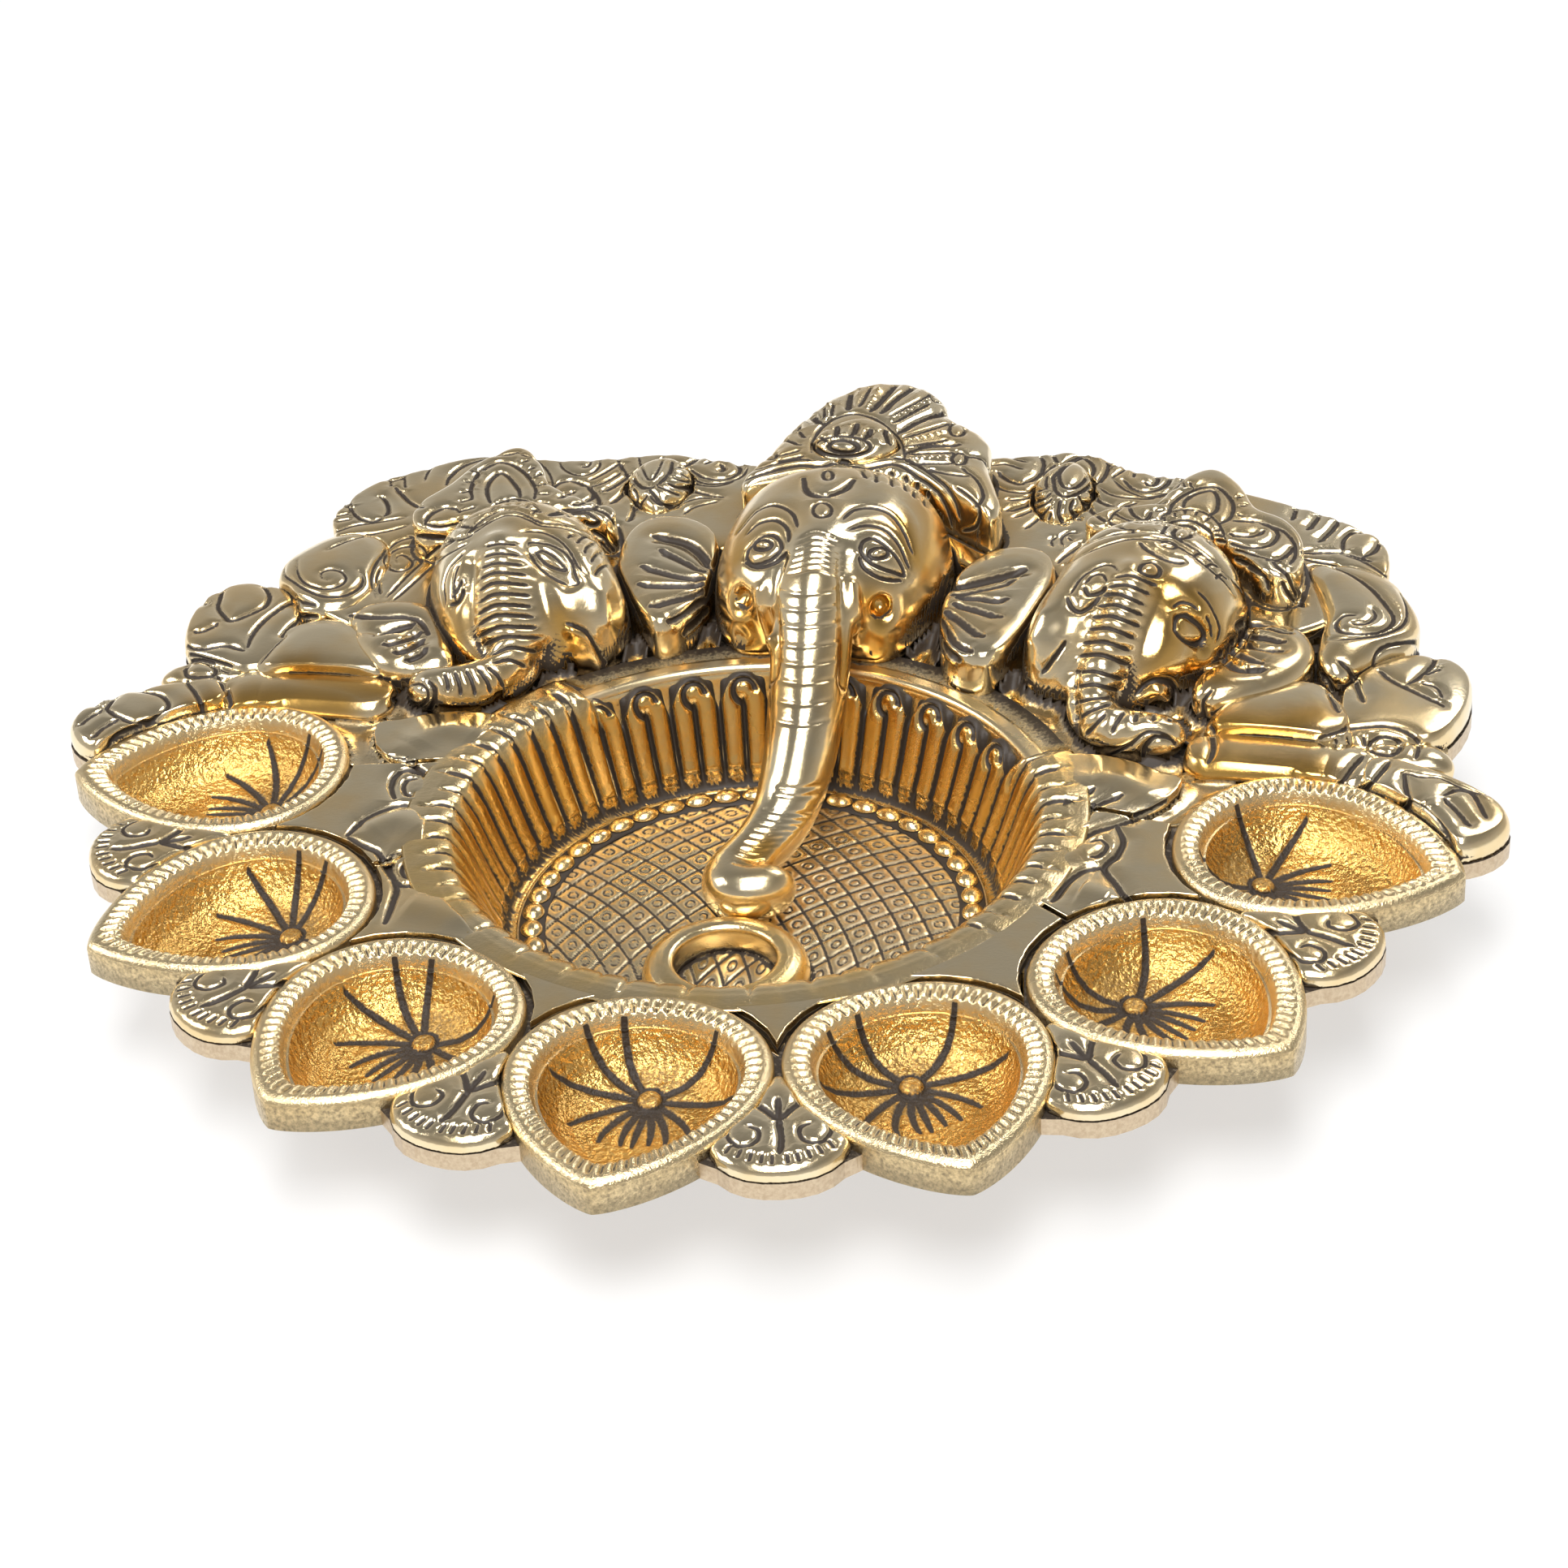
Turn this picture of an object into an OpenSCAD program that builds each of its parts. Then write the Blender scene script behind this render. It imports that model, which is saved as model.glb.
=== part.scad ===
// Festival lamp tray: seven leaf-shaped oil cups fan round a fluted offering bowl,
// and three elephant heads with arms and scrollwork rise along the back edge.
// Units are millimetres, +Z is up, the bowl stands on z = 0 and the tray's front faces -Y.

/* [Plate] */
// height of the cup rims above the table
rim_z = 25; // [21:0.5:32]
// thickness of the base plate
plate_t = 3; // [2:0.25:4.5]
// height of the cup rims above the top face of the plate
rim_over = 3; // [2:0.25:5]
// gap left along every seam between neighbouring pieces
seam = 0.15; // [0.1:0.05:0.4]

/* [Offering bowl] */
// outer radius of the bowl's flange
bowl_r = 55.5; // [50:0.5:60]
// outer radius of the bowl's flat foot
bowl_foot_r = 45.5; // [40:0.5:47]
// thickness of the bowl's wall
bowl_wall = 1.6; // [1.2:0.1:2.5]
// thickness of the bowl's floor
bowl_floor = 2.6; // [1.6:0.1:4]
// width of the flange that rests on the plate
bowl_flange = 2.4; // [1.6:0.1:4]
// thickness of the bowl's flange
bowl_flange_t = 1.4; // [1:0.1:2]
// number of flutes in the lining
flute_n = 56; // [40:1:72]
// thickness of the lining at the bottom of a flute
lining_t = 1; // [0.6:0.1:1.6]
// depth of a flute
flute_d = 1; // [0.6:0.1:1.8]

/* [Bowl fittings] */
// number of beads in the ring on the floor
bead_n = 46; // [36:1:52]
// gap between the beads and the lining
bead_gap = 0.55; // [0.3:0.05:3]
// diameter of one bead
bead_d = 4.4; // [3:0.1:5]
// outer radius of the lamp ring
lamp_r = 14.6; // [12:0.2:16]
// radius of the hole in the lamp ring
lamp_hole_r = 8.8; // [6:0.1:10]
// height of the lamp ring
lamp_h = 5; // [3:0.25:7]
// gap between the lamp ring and the beads in front of it
lamp_gap = 2.2; // [0.6:0.2:4]

/* [Oil cups] */
// width of a cup across its rim
cup_w = 42.6; // [36:0.2:46]
// length from a cup's deepest point to its tip
cup_tip = 28; // [25:0.5:32]
// length from a cup's deepest point to its round end
cup_heel = 21.5; // [19:0.5:24]
// depth of a cup below its rim
cup_depth = 10.5; // [7:0.5:13]
// thickness of a cup's wall
cup_wall = 1.8; // [1.2:0.1:2.4]
// width of the notched rim band
cup_band = 4.4; // [3:0.2:6]
// gap between the bowl's flange and the front cup
cup_gap = 0.5; // [0.3:0.1:2]
// gap between neighbouring cups
cup_space = 0.7; // [0.4:0.1:2]
// height of the stud in the bottom of a cup
stud_h = 0.8; // [0.4:0.1:1.6]

/* [Leaves and petals] */
// reach of a rim leaf beyond the ring of cup centres
leaf_reach = 23.5; // [20:0.5:27]
// half width of a rim leaf
leaf_half = 11; // [8:0.5:13]
// height of a rim leaf above the plate
leaf_h = 3.4; // [2:0.2:5]
// height of an inner petal above the plate
petal_h = 2.6; // [1.6:0.2:4]
// dark channel between a petal and the cups beside it
petal_gap = 0.9; // [0.4:0.1:1.6]

/* [Heads] */
// height of the middle head above the plate
head_h = 23.5; // [18:0.5:28]
// height of the side heads above the plate
side_head_h = 20.5; // [16:0.5:25]
// height of the middle head's ears above the plate
ear_h = 12; // [8:0.5:15]
// height of the side heads' ears above the plate
side_ear_h = 8.5; // [6:0.5:11]
// height of the middle crown above the plate
crown_h = 16.5; // [14:0.5:20]
// height of the side crowns above the plate
side_crown_h = 14; // [11:0.5:18]
// how far the middle crown's medallion stands out of it
crown_gem_out = 2.4; // [1.2:0.2:3.5]
// how deep the medallion is set into the crown
crown_gem_seat = 3; // [2:0.2:3.4]
// half width of the middle trunk at its root
trunk_r = 8; // [6:0.25:9]
// half width of the middle trunk at its curled tip
trunk_tip_r = 5.4; // [4:0.2:6]
// half width of a side trunk at its root
side_trunk_r = 5.8; // [4.5:0.1:7]
// half width of a side trunk at its curled tip
side_tip_r = 4.4; // [3.5:0.1:5]
// length of a tusk
tusk_l = 13; // [9:0.5:15]
// half thickness of a tusk at its root
tusk_r = 2.2; // [1.6:0.1:2.8]

/* [Arms and back] */
// half width of a lower forearm
arm_r = 5.2; // [4:0.2:6]
// height of the lower forearms above the plate
arm_h = 5.6; // [4:0.2:8]
// height of the upper forearms above the plate
upper_arm_h = 8; // [6:0.2:10]
// height of the hands above the plate
hand_h = 6.4; // [4.5:0.2:9]
// width of one bangle
bangle_w = 3.2; // [2:0.2:4.5]
// how far a bangle stands out of the forearm
bangle_out = 0.8; // [0.4:0.1:1.4]
// height of the small rosettes between the hands
rosette_h = 4.4; // [3:0.2:6]
// height of the scroll panels above the plate
panel_h = 6; // [4:0.25:8]
// height of the big volutes above the plate
volute_h = 8.4; // [6.5:0.2:10]
// height of the lotus buds above the plate
bud_h = 9; // [7:0.25:12]

/* [Feet] */
// radius of a back foot where it stands on the table
foot_r = 6; // [4:0.25:9]
// radius of a back foot under the plate
foot_top_r = 8; // [6:0.25:11]
// distance of each back foot from the middle of the tray
foot_x = 60; // [40:1:70]
// distance of the back feet behind the middle of the cup ring
foot_y = 60; // [50:1:70]

/* [Hidden] */
gold = [0.80, 0.66, 0.36];
pale = [0.84, 0.73, 0.50];
amber = [0.74, 0.55, 0.22];
plate_top = rim_z - rim_over;
plate_bot = plate_top - plate_t;
floor_z = bowl_floor;
bowl_y = -17;
ring_y = 3;
// the front cup's round end clears the bowl's flange by cup_gap
ring_r = ring_y - bowl_y + bowl_r + cup_gap + cup_heel;
// neighbouring cups stand cup_space apart where their round ends come closest
cup_step = 2 * asin((cup_w + cup_space) / 2 / (ring_r - 3));
cup_count = 7;
// the bead ring lies inside the lining's foot
bead_ring_r = bowl_foot_r - bowl_wall - seam - lining_t - flute_d - bead_gap - bead_d / 2;
// the lamp ring stands forward of the bowl's middle, close behind the beads
lamp_fwd = bead_ring_r - bead_d / 2 - lamp_gap - lamp_r;
lamp_back = bowl_y - lamp_fwd + lamp_r;
// back edge of the two end cups, which the arms lie along, and that edge on the drawn plan
end_turn = (cup_count - 1) / 2 * cup_step;
end_cup_y = ring_y - ring_r * cos(end_turn) + cup_w / 2 * sin(end_turn);
drawn_cup_y = 6.1140;
drawn_bowl_y = 38.5;
// the heads and arms move with whichever reaches further back, the end cups or the bowl
back_y = max(end_cup_y - drawn_cup_y, bowl_y + bowl_r - drawn_bowl_y);
crown_top = 129 + back_y;
front_reach = ring_r + cup_tip - ring_y;
// puts the middle of the tray's length over the origin
frame_y = (front_reach - crown_top) / 2;
// upright edge of the middle crown, as a share of its height
crown_edge = 0.78;
// stepped edge of a side crown
side_crown_edge = 0.8;
seg = 32;
lid = 60;

// smooth curve between b and c with neighbours a and d
function spline(a, b, c, d, t) =
    0.5 * (2 * b + (c - a) * t + (2 * a - 5 * b + 4 * c - d) * t * t + (3 * b - a - 3 * c + d) * t * t * t);
// twice the signed area of an outline, positive when it runs anticlockwise
function area2(p) = [for (i = [0 : len(p) - 1]) cross(p[i], p[(i + 1) % len(p)])] * [for (q = p) 1];
function back(p) = [for (i = [len(p) - 1 : -1 : 0]) p[i]];
// closed smooth outline through hand-placed points, m steps from one to the next, anticlockwise
function loop(q, m) =
    let (n = len(q), p = area2(q) > 0 ? q : back(q))
    [for (i = [0 : n - 1], j = [0 : m - 1])
        spline(p[(i + n - 1) % n], p[i], p[(i + 1) % n], p[(i + 2) % n], j / m)];
// open smooth path through hand-placed points
function path(p, m) =
    let (n = len(p))
    concat(
        [for (i = [0 : n - 2], j = [0 : m - 1])
            spline(p[max(i - 1, 0)], p[i], p[i + 1], p[min(i + 2, n - 1)], j / m)],
        [p[n - 1]]);
// points of the drawn plan moved to where the end cups put them
function moved(q) = [for (p = q) [p[0], p[1] + back_y]];
function at(x, y) = [x, y + back_y];
function relief(q, m) = loop(moved(q), m);
function unit(v) = v / norm(v);
// outline with every point moved outward by g
function grow(o, g) =
    let (n = len(o))
    [for (i = [0 : n - 1])
        let (t = unit(o[(i + 1) % n] - o[(i + n - 1) % n]))
        o[i] + g * [t[1], -t[0]]];
function flip(p) = back([for (q = p) [-q[0], q[1]]]);
function flip_path(p) = [for (q = p) [-q[0], q[1], q[2], q[3], q[4]]];

// largest value of the width formula below, which makes cup_w the true width
cup_fat = 0.8623;
// leaf-shaped cup outline at scale s, deepest point at the origin, tip towards -Y
function cup_outline(s, g = 0) =
    let (long = (cup_tip + cup_heel) / 2, mid = (cup_heel - cup_tip) / 2)
    [for (i = [0 : seg - 1])
        let (t = 360 * i / seg)
        let (x = -(cup_w / 2 + g) / cup_fat * sin(t) * sqrt(abs(sin(t / 2))))
        [x * s, (mid - (long + g) * cos(t)) * s]];
// share of the rim outline left inside the notched band
cup_in = 1 - cup_band / (cup_w / 2);
cup_hole = cup_in + cup_wall / (cup_w / 2);

// solid between stacked rings of points; each ring has n points, the last ring closes the top
module skin(rings) {
    n = len(rings[0]);
    k = len(rings);
    polyhedron(
        points = [for (r = rings, p = r) p],
        faces = concat(
            [[for (i = [0 : n - 1]) i]],
            [for (r = [0 : k - 2], i = [0 : n - 1])
                each [
                    [r * n + i, (r + 1) * n + i, (r + 1) * n + (i + 1) % n],
                    [r * n + i, (r + 1) * n + (i + 1) % n, r * n + (i + 1) % n]]],
            [[for (i = [n - 1 : -1 : 0]) (k - 1) * n + i]]),
        convexity = 6);
}

// domed relief on the plate: outline o, crown point c, height h, upright edge e, k rings;
// a small f gives a flat top with a round edge, f = 1 a half ellipsoid
module dome(o, c, h, e, k = 5, f = 0.6) {
    last = 88;
    skin(concat(
        [[for (p = o) [p[0], p[1], plate_top]]],
        [for (j = [0 : k])
            let (a = last * j / k)
            let (s = pow(cos(a), f))
            [for (p = o) [c[0] + (p[0] - c[0]) * s, c[1] + (p[1] - c[1]) * s,
                plate_top + e + (h - e) * sin(a) / sin(last)]]]));
}

// thick plate of height h whose edge steps in by b
module tiers(o, h, b) {
    for (q = [[0, 1], [0.35, 0.45], [1, 0]])
        translate([0, 0, plate_top])
            linear_extrude(h - b * q[1])
                polygon(grow(o, -b * q[0]));
}

// tapering tube along points [x, y, z, half width, half thickness]
module tube(p, g = 0, n = 12) {
    m = len(p);
    rings = [for (i = [m - 1 : -1 : 0])
        let (a = p[max(i - 1, 0)], b = p[min(i + 1, m - 1)])
        let (t = unit([b[0] - a[0], b[1] - a[1], b[2] - a[2]]))
        let (s = unit(cross(t, [0, 0, 1])), u = cross(s, t))
        [for (j = [0 : n - 1])
            let (w = 360 * j / n)
            [p[i][0], p[i][1], p[i][2]] + (p[i][3] + g) * cos(w) * s + (p[i][4] + g) * sin(w) * u]];
    skin(rings);
}

// everything above the plate's top face
module above() {
    translate([-200, -200, plate_top])
        cube([400, 400, lid]);
}
// upright cutter along an outline, with the seam added
module cutter(o) {
    translate([0, 0, plate_top - 1])
        linear_extrude(lid)
            polygon(grow(o, seam));
}
module bowl_cutter() {
    translate([0, bowl_y, plate_top - 1])
        cylinder(r = bowl_r + seam, h = lid, $fn = 120);
}
module on_ring(turn) {
    translate([0, ring_y, 0])
        rotate([0, 0, turn])
            children();
}
module cup_cutters() {
    for (i = [0 : cup_count - 1])
        on_ring((i - (cup_count - 1) / 2) * cup_step)
            translate([0, -ring_r, plate_top - 1])
                linear_extrude(lid)
                    polygon(cup_outline(1, seam));
}

rim_leaf_o = loop([[0, -ring_r - leaf_reach], [leaf_half * 0.5, -ring_r - leaf_reach + 1],
    [leaf_half * 0.88, -ring_r - leaf_reach + 4.5], [leaf_half, -ring_r - leaf_reach + 10],
    [leaf_half * 0.7, -ring_r - 6], [0, -ring_r + 2], [-leaf_half * 0.7, -ring_r - 6],
    [-leaf_half, -ring_r - leaf_reach + 10], [-leaf_half * 0.88, -ring_r - leaf_reach + 4.5],
    [-leaf_half * 0.5, -ring_r - leaf_reach + 1]], 2);

// outlines on the plate, placed by hand on the symmetrical plan of the tray
end_petal_o = relief([[-50, -2], [-49.5, 6], [-53, 9.4], [-59, 9.6], [-65, 8], [-70, 5.2], [-74, 3.4],
    [-72, -4], [-66, -10], [-61, -14], [-56, -10]], 2);
head_middle_o = relief([[0, 36], [13, 37], [20, 46], [22.5, 60], [20.5, 74], [12, 82.5], [0, 85],
    [-12, 82.5], [-20.5, 74], [-22.5, 60], [-20, 46], [-13, 37]], 3);
ear_middle_left_o = relief([[-28, 34], [-23.5, 38], [-22, 47], [-22.5, 58], [-25, 70], [-32, 76],
    [-39.5, 75], [-42.5, 68], [-41.5, 56], [-37, 46], [-32, 38]], 3);
ear_middle_right_o = relief([[33, 29], [36.5, 31], [39, 38], [41, 48], [42.5, 60], [40.5, 69], [35, 72],
    [28.5, 69], [24.5, 61], [23, 50], [24, 40], [27, 32]], 3);
crown_middle_o = relief([[-22, 80], [-12, 85], [0, 87], [13, 85], [23, 78], [28, 74], [29.5, 79],
    [25, 92], [23.5, 103], [19, 109], [14, 113], [11, 121], [5, 127.5], [-1, 129], [-8, 126],
    [-13, 119], [-16, 111], [-18.5, 103], [-20, 93], [-22.5, 86]], 2);
crown_middle_c = at(0, 103);
crown_gem_c = at(-2.5, 96.5);
crown_gem_o = relief([[-2.5, 90], [3.5, 92], [6, 96.5], [3, 102.5], [-2.5, 106], [-8, 102.5],
    [-11, 96.5], [-8.5, 92]], 3);
head_left_o = relief([[-58, 24], [-46, 27], [-38, 31], [-35, 38], [-38, 46], [-42, 54], [-48, 63],
    [-58, 68], [-68, 66], [-75, 58], [-76, 48], [-72, 36], [-66, 27]], 3);
crown_left_o = relief([[-46, 65.5], [-57, 69.3], [-68, 68], [-76, 60], [-82, 60], [-84, 67], [-80, 76],
    [-77, 86], [-71, 93], [-65, 86], [-61, 78], [-53, 73], [-46, 70]], 3);
ear_left_o = relief([[-70, 18], [-65, 20], [-67, 26], [-72, 36], [-77, 40], [-85, 39], [-88, 34],
    [-84, 26], [-77, 18]], 3);
head_right_o = relief([[52, 27], [62, 27], [71, 34], [77, 44], [79, 55], [75, 66], [68, 72], [58, 74],
    [49, 70], [44, 60], [42.5, 48], [40.5, 38], [43, 30]], 3);
crown_right_o = relief([[47, 77.5], [48.4, 73.8], [58, 75.2], [69, 75], [77, 68], [81.6, 60.6], [86.6, 60.8],
    [87, 72], [83, 80], [77, 84], [73, 93], [67.5, 99], [62, 93], [59, 84], [51.5, 81.2]], 3);
ear_right_o = relief([[75, 25], [83, 28], [89, 33], [92, 41], [90, 49], [85, 52], [81, 50], [79.5, 43],
    [77, 36], [73, 30]], 3);
forearm_upper_left_o = relief([[-76, 15], [-86, 15], [-99, 15.5], [-101, 22], [-98, 31], [-91, 34],
    [-84, 28], [-78, 21]], 3);
hand_upper_left_o = relief([[-101, 17], [-110, 18], [-117, 21], [-121, 32], [-120.5, 43], [-115, 48.5],
    [-106, 47], [-100, 39], [-98, 31]], 3);
hand_lower_left_o = relief([[-104, 4], [-112, -6], [-119, -14], [-126, -12], [-130, -6], [-128.5, 0],
    [-122, 6], [-113, 11], [-105, 13]], 3);
forearm_upper_right_o = relief([[77, 15], [79, 25], [85, 30], [93, 34], [98, 28], [100.5, 20], [99, 15],
    [88, 15]], 3);
hand_upper_right_o = flip(hand_upper_left_o);
hand_lower_right_o = flip(hand_lower_left_o);
rosette_left_o = relief([[-103, 12], [-113, 12], [-119, 13], [-117, 18], [-110, 19.5], [-102, 17]], 3);
rosette_right_o = flip(rosette_left_o);
volute_left_o = relief([[-90, 40], [-88, 52], [-90, 62], [-95, 67], [-101, 66], [-105.5, 60],
    [-108, 52], [-104, 42], [-97, 37]], 3);
volute_right_o = relief([[94.4, 39.6], [98, 38], [102, 43], [108, 48], [110, 56], [107.5, 65], [103, 73],
    [95, 77], [89, 76], [91.6, 66], [94, 56], [93.6, 48]], 3);
bud_left_o = relief([[-41, 83], [-36.5, 91], [-37.5, 100], [-43, 105], [-48.5, 101], [-49, 92]], 3);
bud_right_o = relief([[38, 88], [43, 95], [43.5, 105], [38, 113], [32.5, 105], [33, 95]], 3);
panel_left_o = relief([[-14, 80], [-16, 100], [-22, 104.5], [-30, 106.5], [-43, 108.5], [-54, 106],
    [-63, 103.5], [-70, 103.5], [-78, 105], [-86, 102], [-94, 95.5], [-101, 89.5], [-104.5, 81],
    [-105, 73], [-102, 66], [-100, 55], [-98, 44], [-94, 36], [-78, 30], [-60, 40], [-40, 58]], 3);
panel_right_o = relief([[14, 80], [40, 56], [60, 40], [76, 36], [86, 48], [95, 56], [102, 64],
    [102, 70], [103.5, 77], [102, 87], [97, 92.5], [89, 98], [80, 102], [70, 106],
    [60, 110], [51, 111.5], [45, 116], [37, 118.5], [29, 116], [18, 110]], 3);
// back edge of the plate from the right hand round to the left hand
back_edge = path(moved([[116, 6], [117, 30], [107, 46], [104, 60], [102, 70], [103.5, 77], [102, 87],
    [97, 92.5], [89, 98], [80, 102], [70, 106], [60, 110], [51, 111.5], [45, 116], [37, 118.5],
    [29, 116], [21, 112], [14, 112], [-8, 112], [-19, 106], [-30, 106.5], [-43, 108.5], [-54, 106],
    [-63, 103.5], [-70, 103.5], [-78, 105], [-86, 102], [-94, 95.5], [-101, 89.5], [-104.5, 81],
    [-105, 73], [-102, 66], [-104, 58], [-106, 46], [-117, 30], [-116, 6]]), 2);
function turned(p, a) =
    [p[0] * cos(a) - p[1] * sin(a), ring_y + p[0] * sin(a) + p[1] * cos(a)];
// front edge of the plate: the outer end of every cup and, between two cups, of a leaf
front_edge = [for (i = [0 : cup_count - 1])
    each concat(
        [for (j = [5 : -1 : -5])
            let (p = cup_outline(1)[(j + seg) % seg])
            turned([p[0], p[1] - ring_r], (i - (cup_count - 1) / 2) * cup_step)],
        i == cup_count - 1 ? [] :
        [for (j = [16 : 24]) turned(rim_leaf_o[j % 20], (i - (cup_count - 2) / 2) * cup_step)])];

// centre lines, from root to tip: x, y, z, half width, half thickness
trunk_drop = plate_top - floor_z;
trunk_middle_p = path([
    [0, 64 + back_y, plate_top + head_h - 6, trunk_r * 0.5, 3],
    [0, 60 + back_y, plate_top + head_h - 4.5, trunk_r * 0.72, 5],
    [0.4, 50 + back_y, plate_top + head_h - 6, trunk_r * 0.95, 6.4],
    [1.2, 38 + back_y, plate_top + head_h - 10, trunk_r, 6.6],
    [2.4, 26 + back_y, floor_z + trunk_drop * 1.24, trunk_r * 0.98, 6.6],
    [3.4, 13 + back_y / 2, floor_z + trunk_drop * 0.88, trunk_r * 0.9, 6.4],
    [2.4, 1, floor_z + trunk_drop * 0.52, trunk_r * 0.78, trunk_tip_r * 1.08],
    [-1, -8, floor_z + trunk_tip_r * 1.3, trunk_r * 0.7, trunk_tip_r],
    [-4.4, lamp_back + 8.9, floor_z + seam + trunk_tip_r, trunk_tip_r, trunk_tip_r],
    [-3, lamp_back + 3.9, floor_z + seam + trunk_tip_r, trunk_tip_r, trunk_tip_r],
    [2, lamp_back + 3.9, floor_z + seam + trunk_tip_r * 1.02, trunk_tip_r * 0.95, trunk_tip_r],
    [5.2, lamp_back + 6.4, floor_z + seam + trunk_tip_r * 1.1, trunk_tip_r * 0.85, trunk_tip_r * 0.9],
    [7.2, lamp_back + 8.8, floor_z + seam + trunk_tip_r * 1.15, trunk_tip_r * 0.35, trunk_tip_r * 0.4]], 3);
function side_trunk(p) = path([
    [p[0][0], p[0][1], plate_top + side_head_h - 5, side_trunk_r * 0.5, 2.5],
    [p[1][0], p[1][1], plate_top + side_head_h - 3.6, side_trunk_r * 0.85, 4.4],
    [p[2][0], p[2][1], plate_top + side_head_h * 0.76, side_trunk_r, 5],
    [p[3][0], p[3][1], plate_top + side_head_h * 0.6, side_trunk_r, 5],
    [p[4][0], p[4][1], plate_top + side_head_h * 0.4, side_trunk_r * 0.95, 4.8],
    [p[5][0], p[5][1], plate_top + side_tip_r * 0.9, side_trunk_r * 0.85, side_tip_r],
    [p[6][0], p[6][1], plate_top + side_tip_r * 0.72, side_tip_r, side_tip_r],
    [p[7][0], p[7][1], plate_top + side_tip_r * 0.72, side_tip_r, side_tip_r],
    [p[8][0], p[8][1], plate_top + side_tip_r * 0.8, side_tip_r * 0.9, side_tip_r],
    [p[9][0], p[9][1], plate_top + side_tip_r * 0.8, side_tip_r * 0.35, side_tip_r * 0.4]], 2);
trunk_left_p = side_trunk(moved([[-61, 58], [-60.5, 53], [-59, 45], [-56.5, 37], [-54, 29.5], [-52.8, 22.5],
    [-56, 16.8], [-62, 14.6], [-67.5, 14.6], [-70.5, 15.6]]));
trunk_right_p = side_trunk(moved([[61, 64], [60.5, 58.5], [59.4, 50], [58, 41], [56.2, 32], [55, 23.5],
    [57.6, 17.4], [63, 15], [68.5, 15], [71.5, 16]]));
forearm_left_p = path([
    [-74.5, 12 + back_y, plate_top + 0.4, arm_r * 0.4, arm_h * 0.4],
    [-76, 12 + back_y, plate_top + 0.4, arm_r * 0.86, arm_h * 0.86],
    [-84, 12.4 + back_y, plate_top + 0.4, arm_r, arm_h - 0.4],
    [-95, 11.8 + back_y, plate_top + 0.4, arm_r, arm_h - 0.4],
    [-107, 8.4 + back_y, plate_top + 0.4, arm_r * 0.94, arm_h - 0.8]], 2);
forearm_right_p = flip_path(forearm_left_p);

module oil_cup(i) {
    bot = rim_z - cup_depth;
    color(pale)
        translate([0, frame_y, 0])
            on_ring((i - (cup_count - 1) / 2) * cup_step)
                translate([0, -ring_r, 0])
                    skin([
                        for (q = [
                            [0.34, bot - cup_wall],
                            [cup_hole * 0.72, bot - cup_wall + cup_depth * 0.12],
                            [cup_hole * 0.93, bot - cup_wall + cup_depth * 0.4],
                            [cup_hole, plate_top],
                            [1, plate_top],
                            [1, rim_z - 0.8],
                            [0.96, rim_z],
                            [cup_in + 0.02, rim_z],
                            [cup_in * 0.95, rim_z - cup_depth * 0.32],
                            [cup_in * 0.78, rim_z - cup_depth * 0.72],
                            [cup_in * 0.46, rim_z - cup_depth * 0.96],
                            [0.15, bot],
                            [0.13, bot + stud_h]])
                        [for (p = cup_outline(q[0])) [p[0], p[1], q[1]]]]);
}

// plate with openings that the cups and the bowl drop into
module base_plate() {
    color(amber)
        translate([0, frame_y, plate_bot])
            difference() {
                linear_extrude(plate_t)
                    union() {
                        polygon(concat(front_edge, back_edge));
                        for (o = [crown_middle_o, hand_upper_left_o, hand_upper_right_o,
                            hand_lower_left_o, hand_lower_right_o, rosette_left_o, rosette_right_o,
                            volute_left_o, volute_right_o])
                            polygon(o);
                    }
                translate([0, bowl_y, -1])
                    cylinder(r = bowl_r - bowl_flange + seam, h = plate_t + 2, $fn = 180);
                for (i = [0 : cup_count - 1])
                    on_ring((i - (cup_count - 1) / 2) * cup_step)
                        translate([0, -ring_r, -1])
                            linear_extrude(plate_t + 2)
                                polygon(cup_outline(cup_hole, seam));
            }
}

module offering_bowl() {
    up_r = bowl_r - bowl_flange;
    color(amber)
        translate([0, bowl_y + frame_y, 0])
            rotate_extrude($fn = 180)
                polygon([
                    [0, 0],
                    [bowl_foot_r - 2, 0],
                    [bowl_foot_r, 2],
                    [up_r, plate_top - 1],
                    [up_r, plate_top],
                    [bowl_r, plate_top],
                    [bowl_r, plate_top + bowl_flange_t],
                    [up_r - bowl_wall, plate_top + bowl_flange_t],
                    [up_r - bowl_wall, plate_top - 1],
                    [bowl_foot_r - bowl_wall, floor_z],
                    [0, floor_z]]);
}

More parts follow.
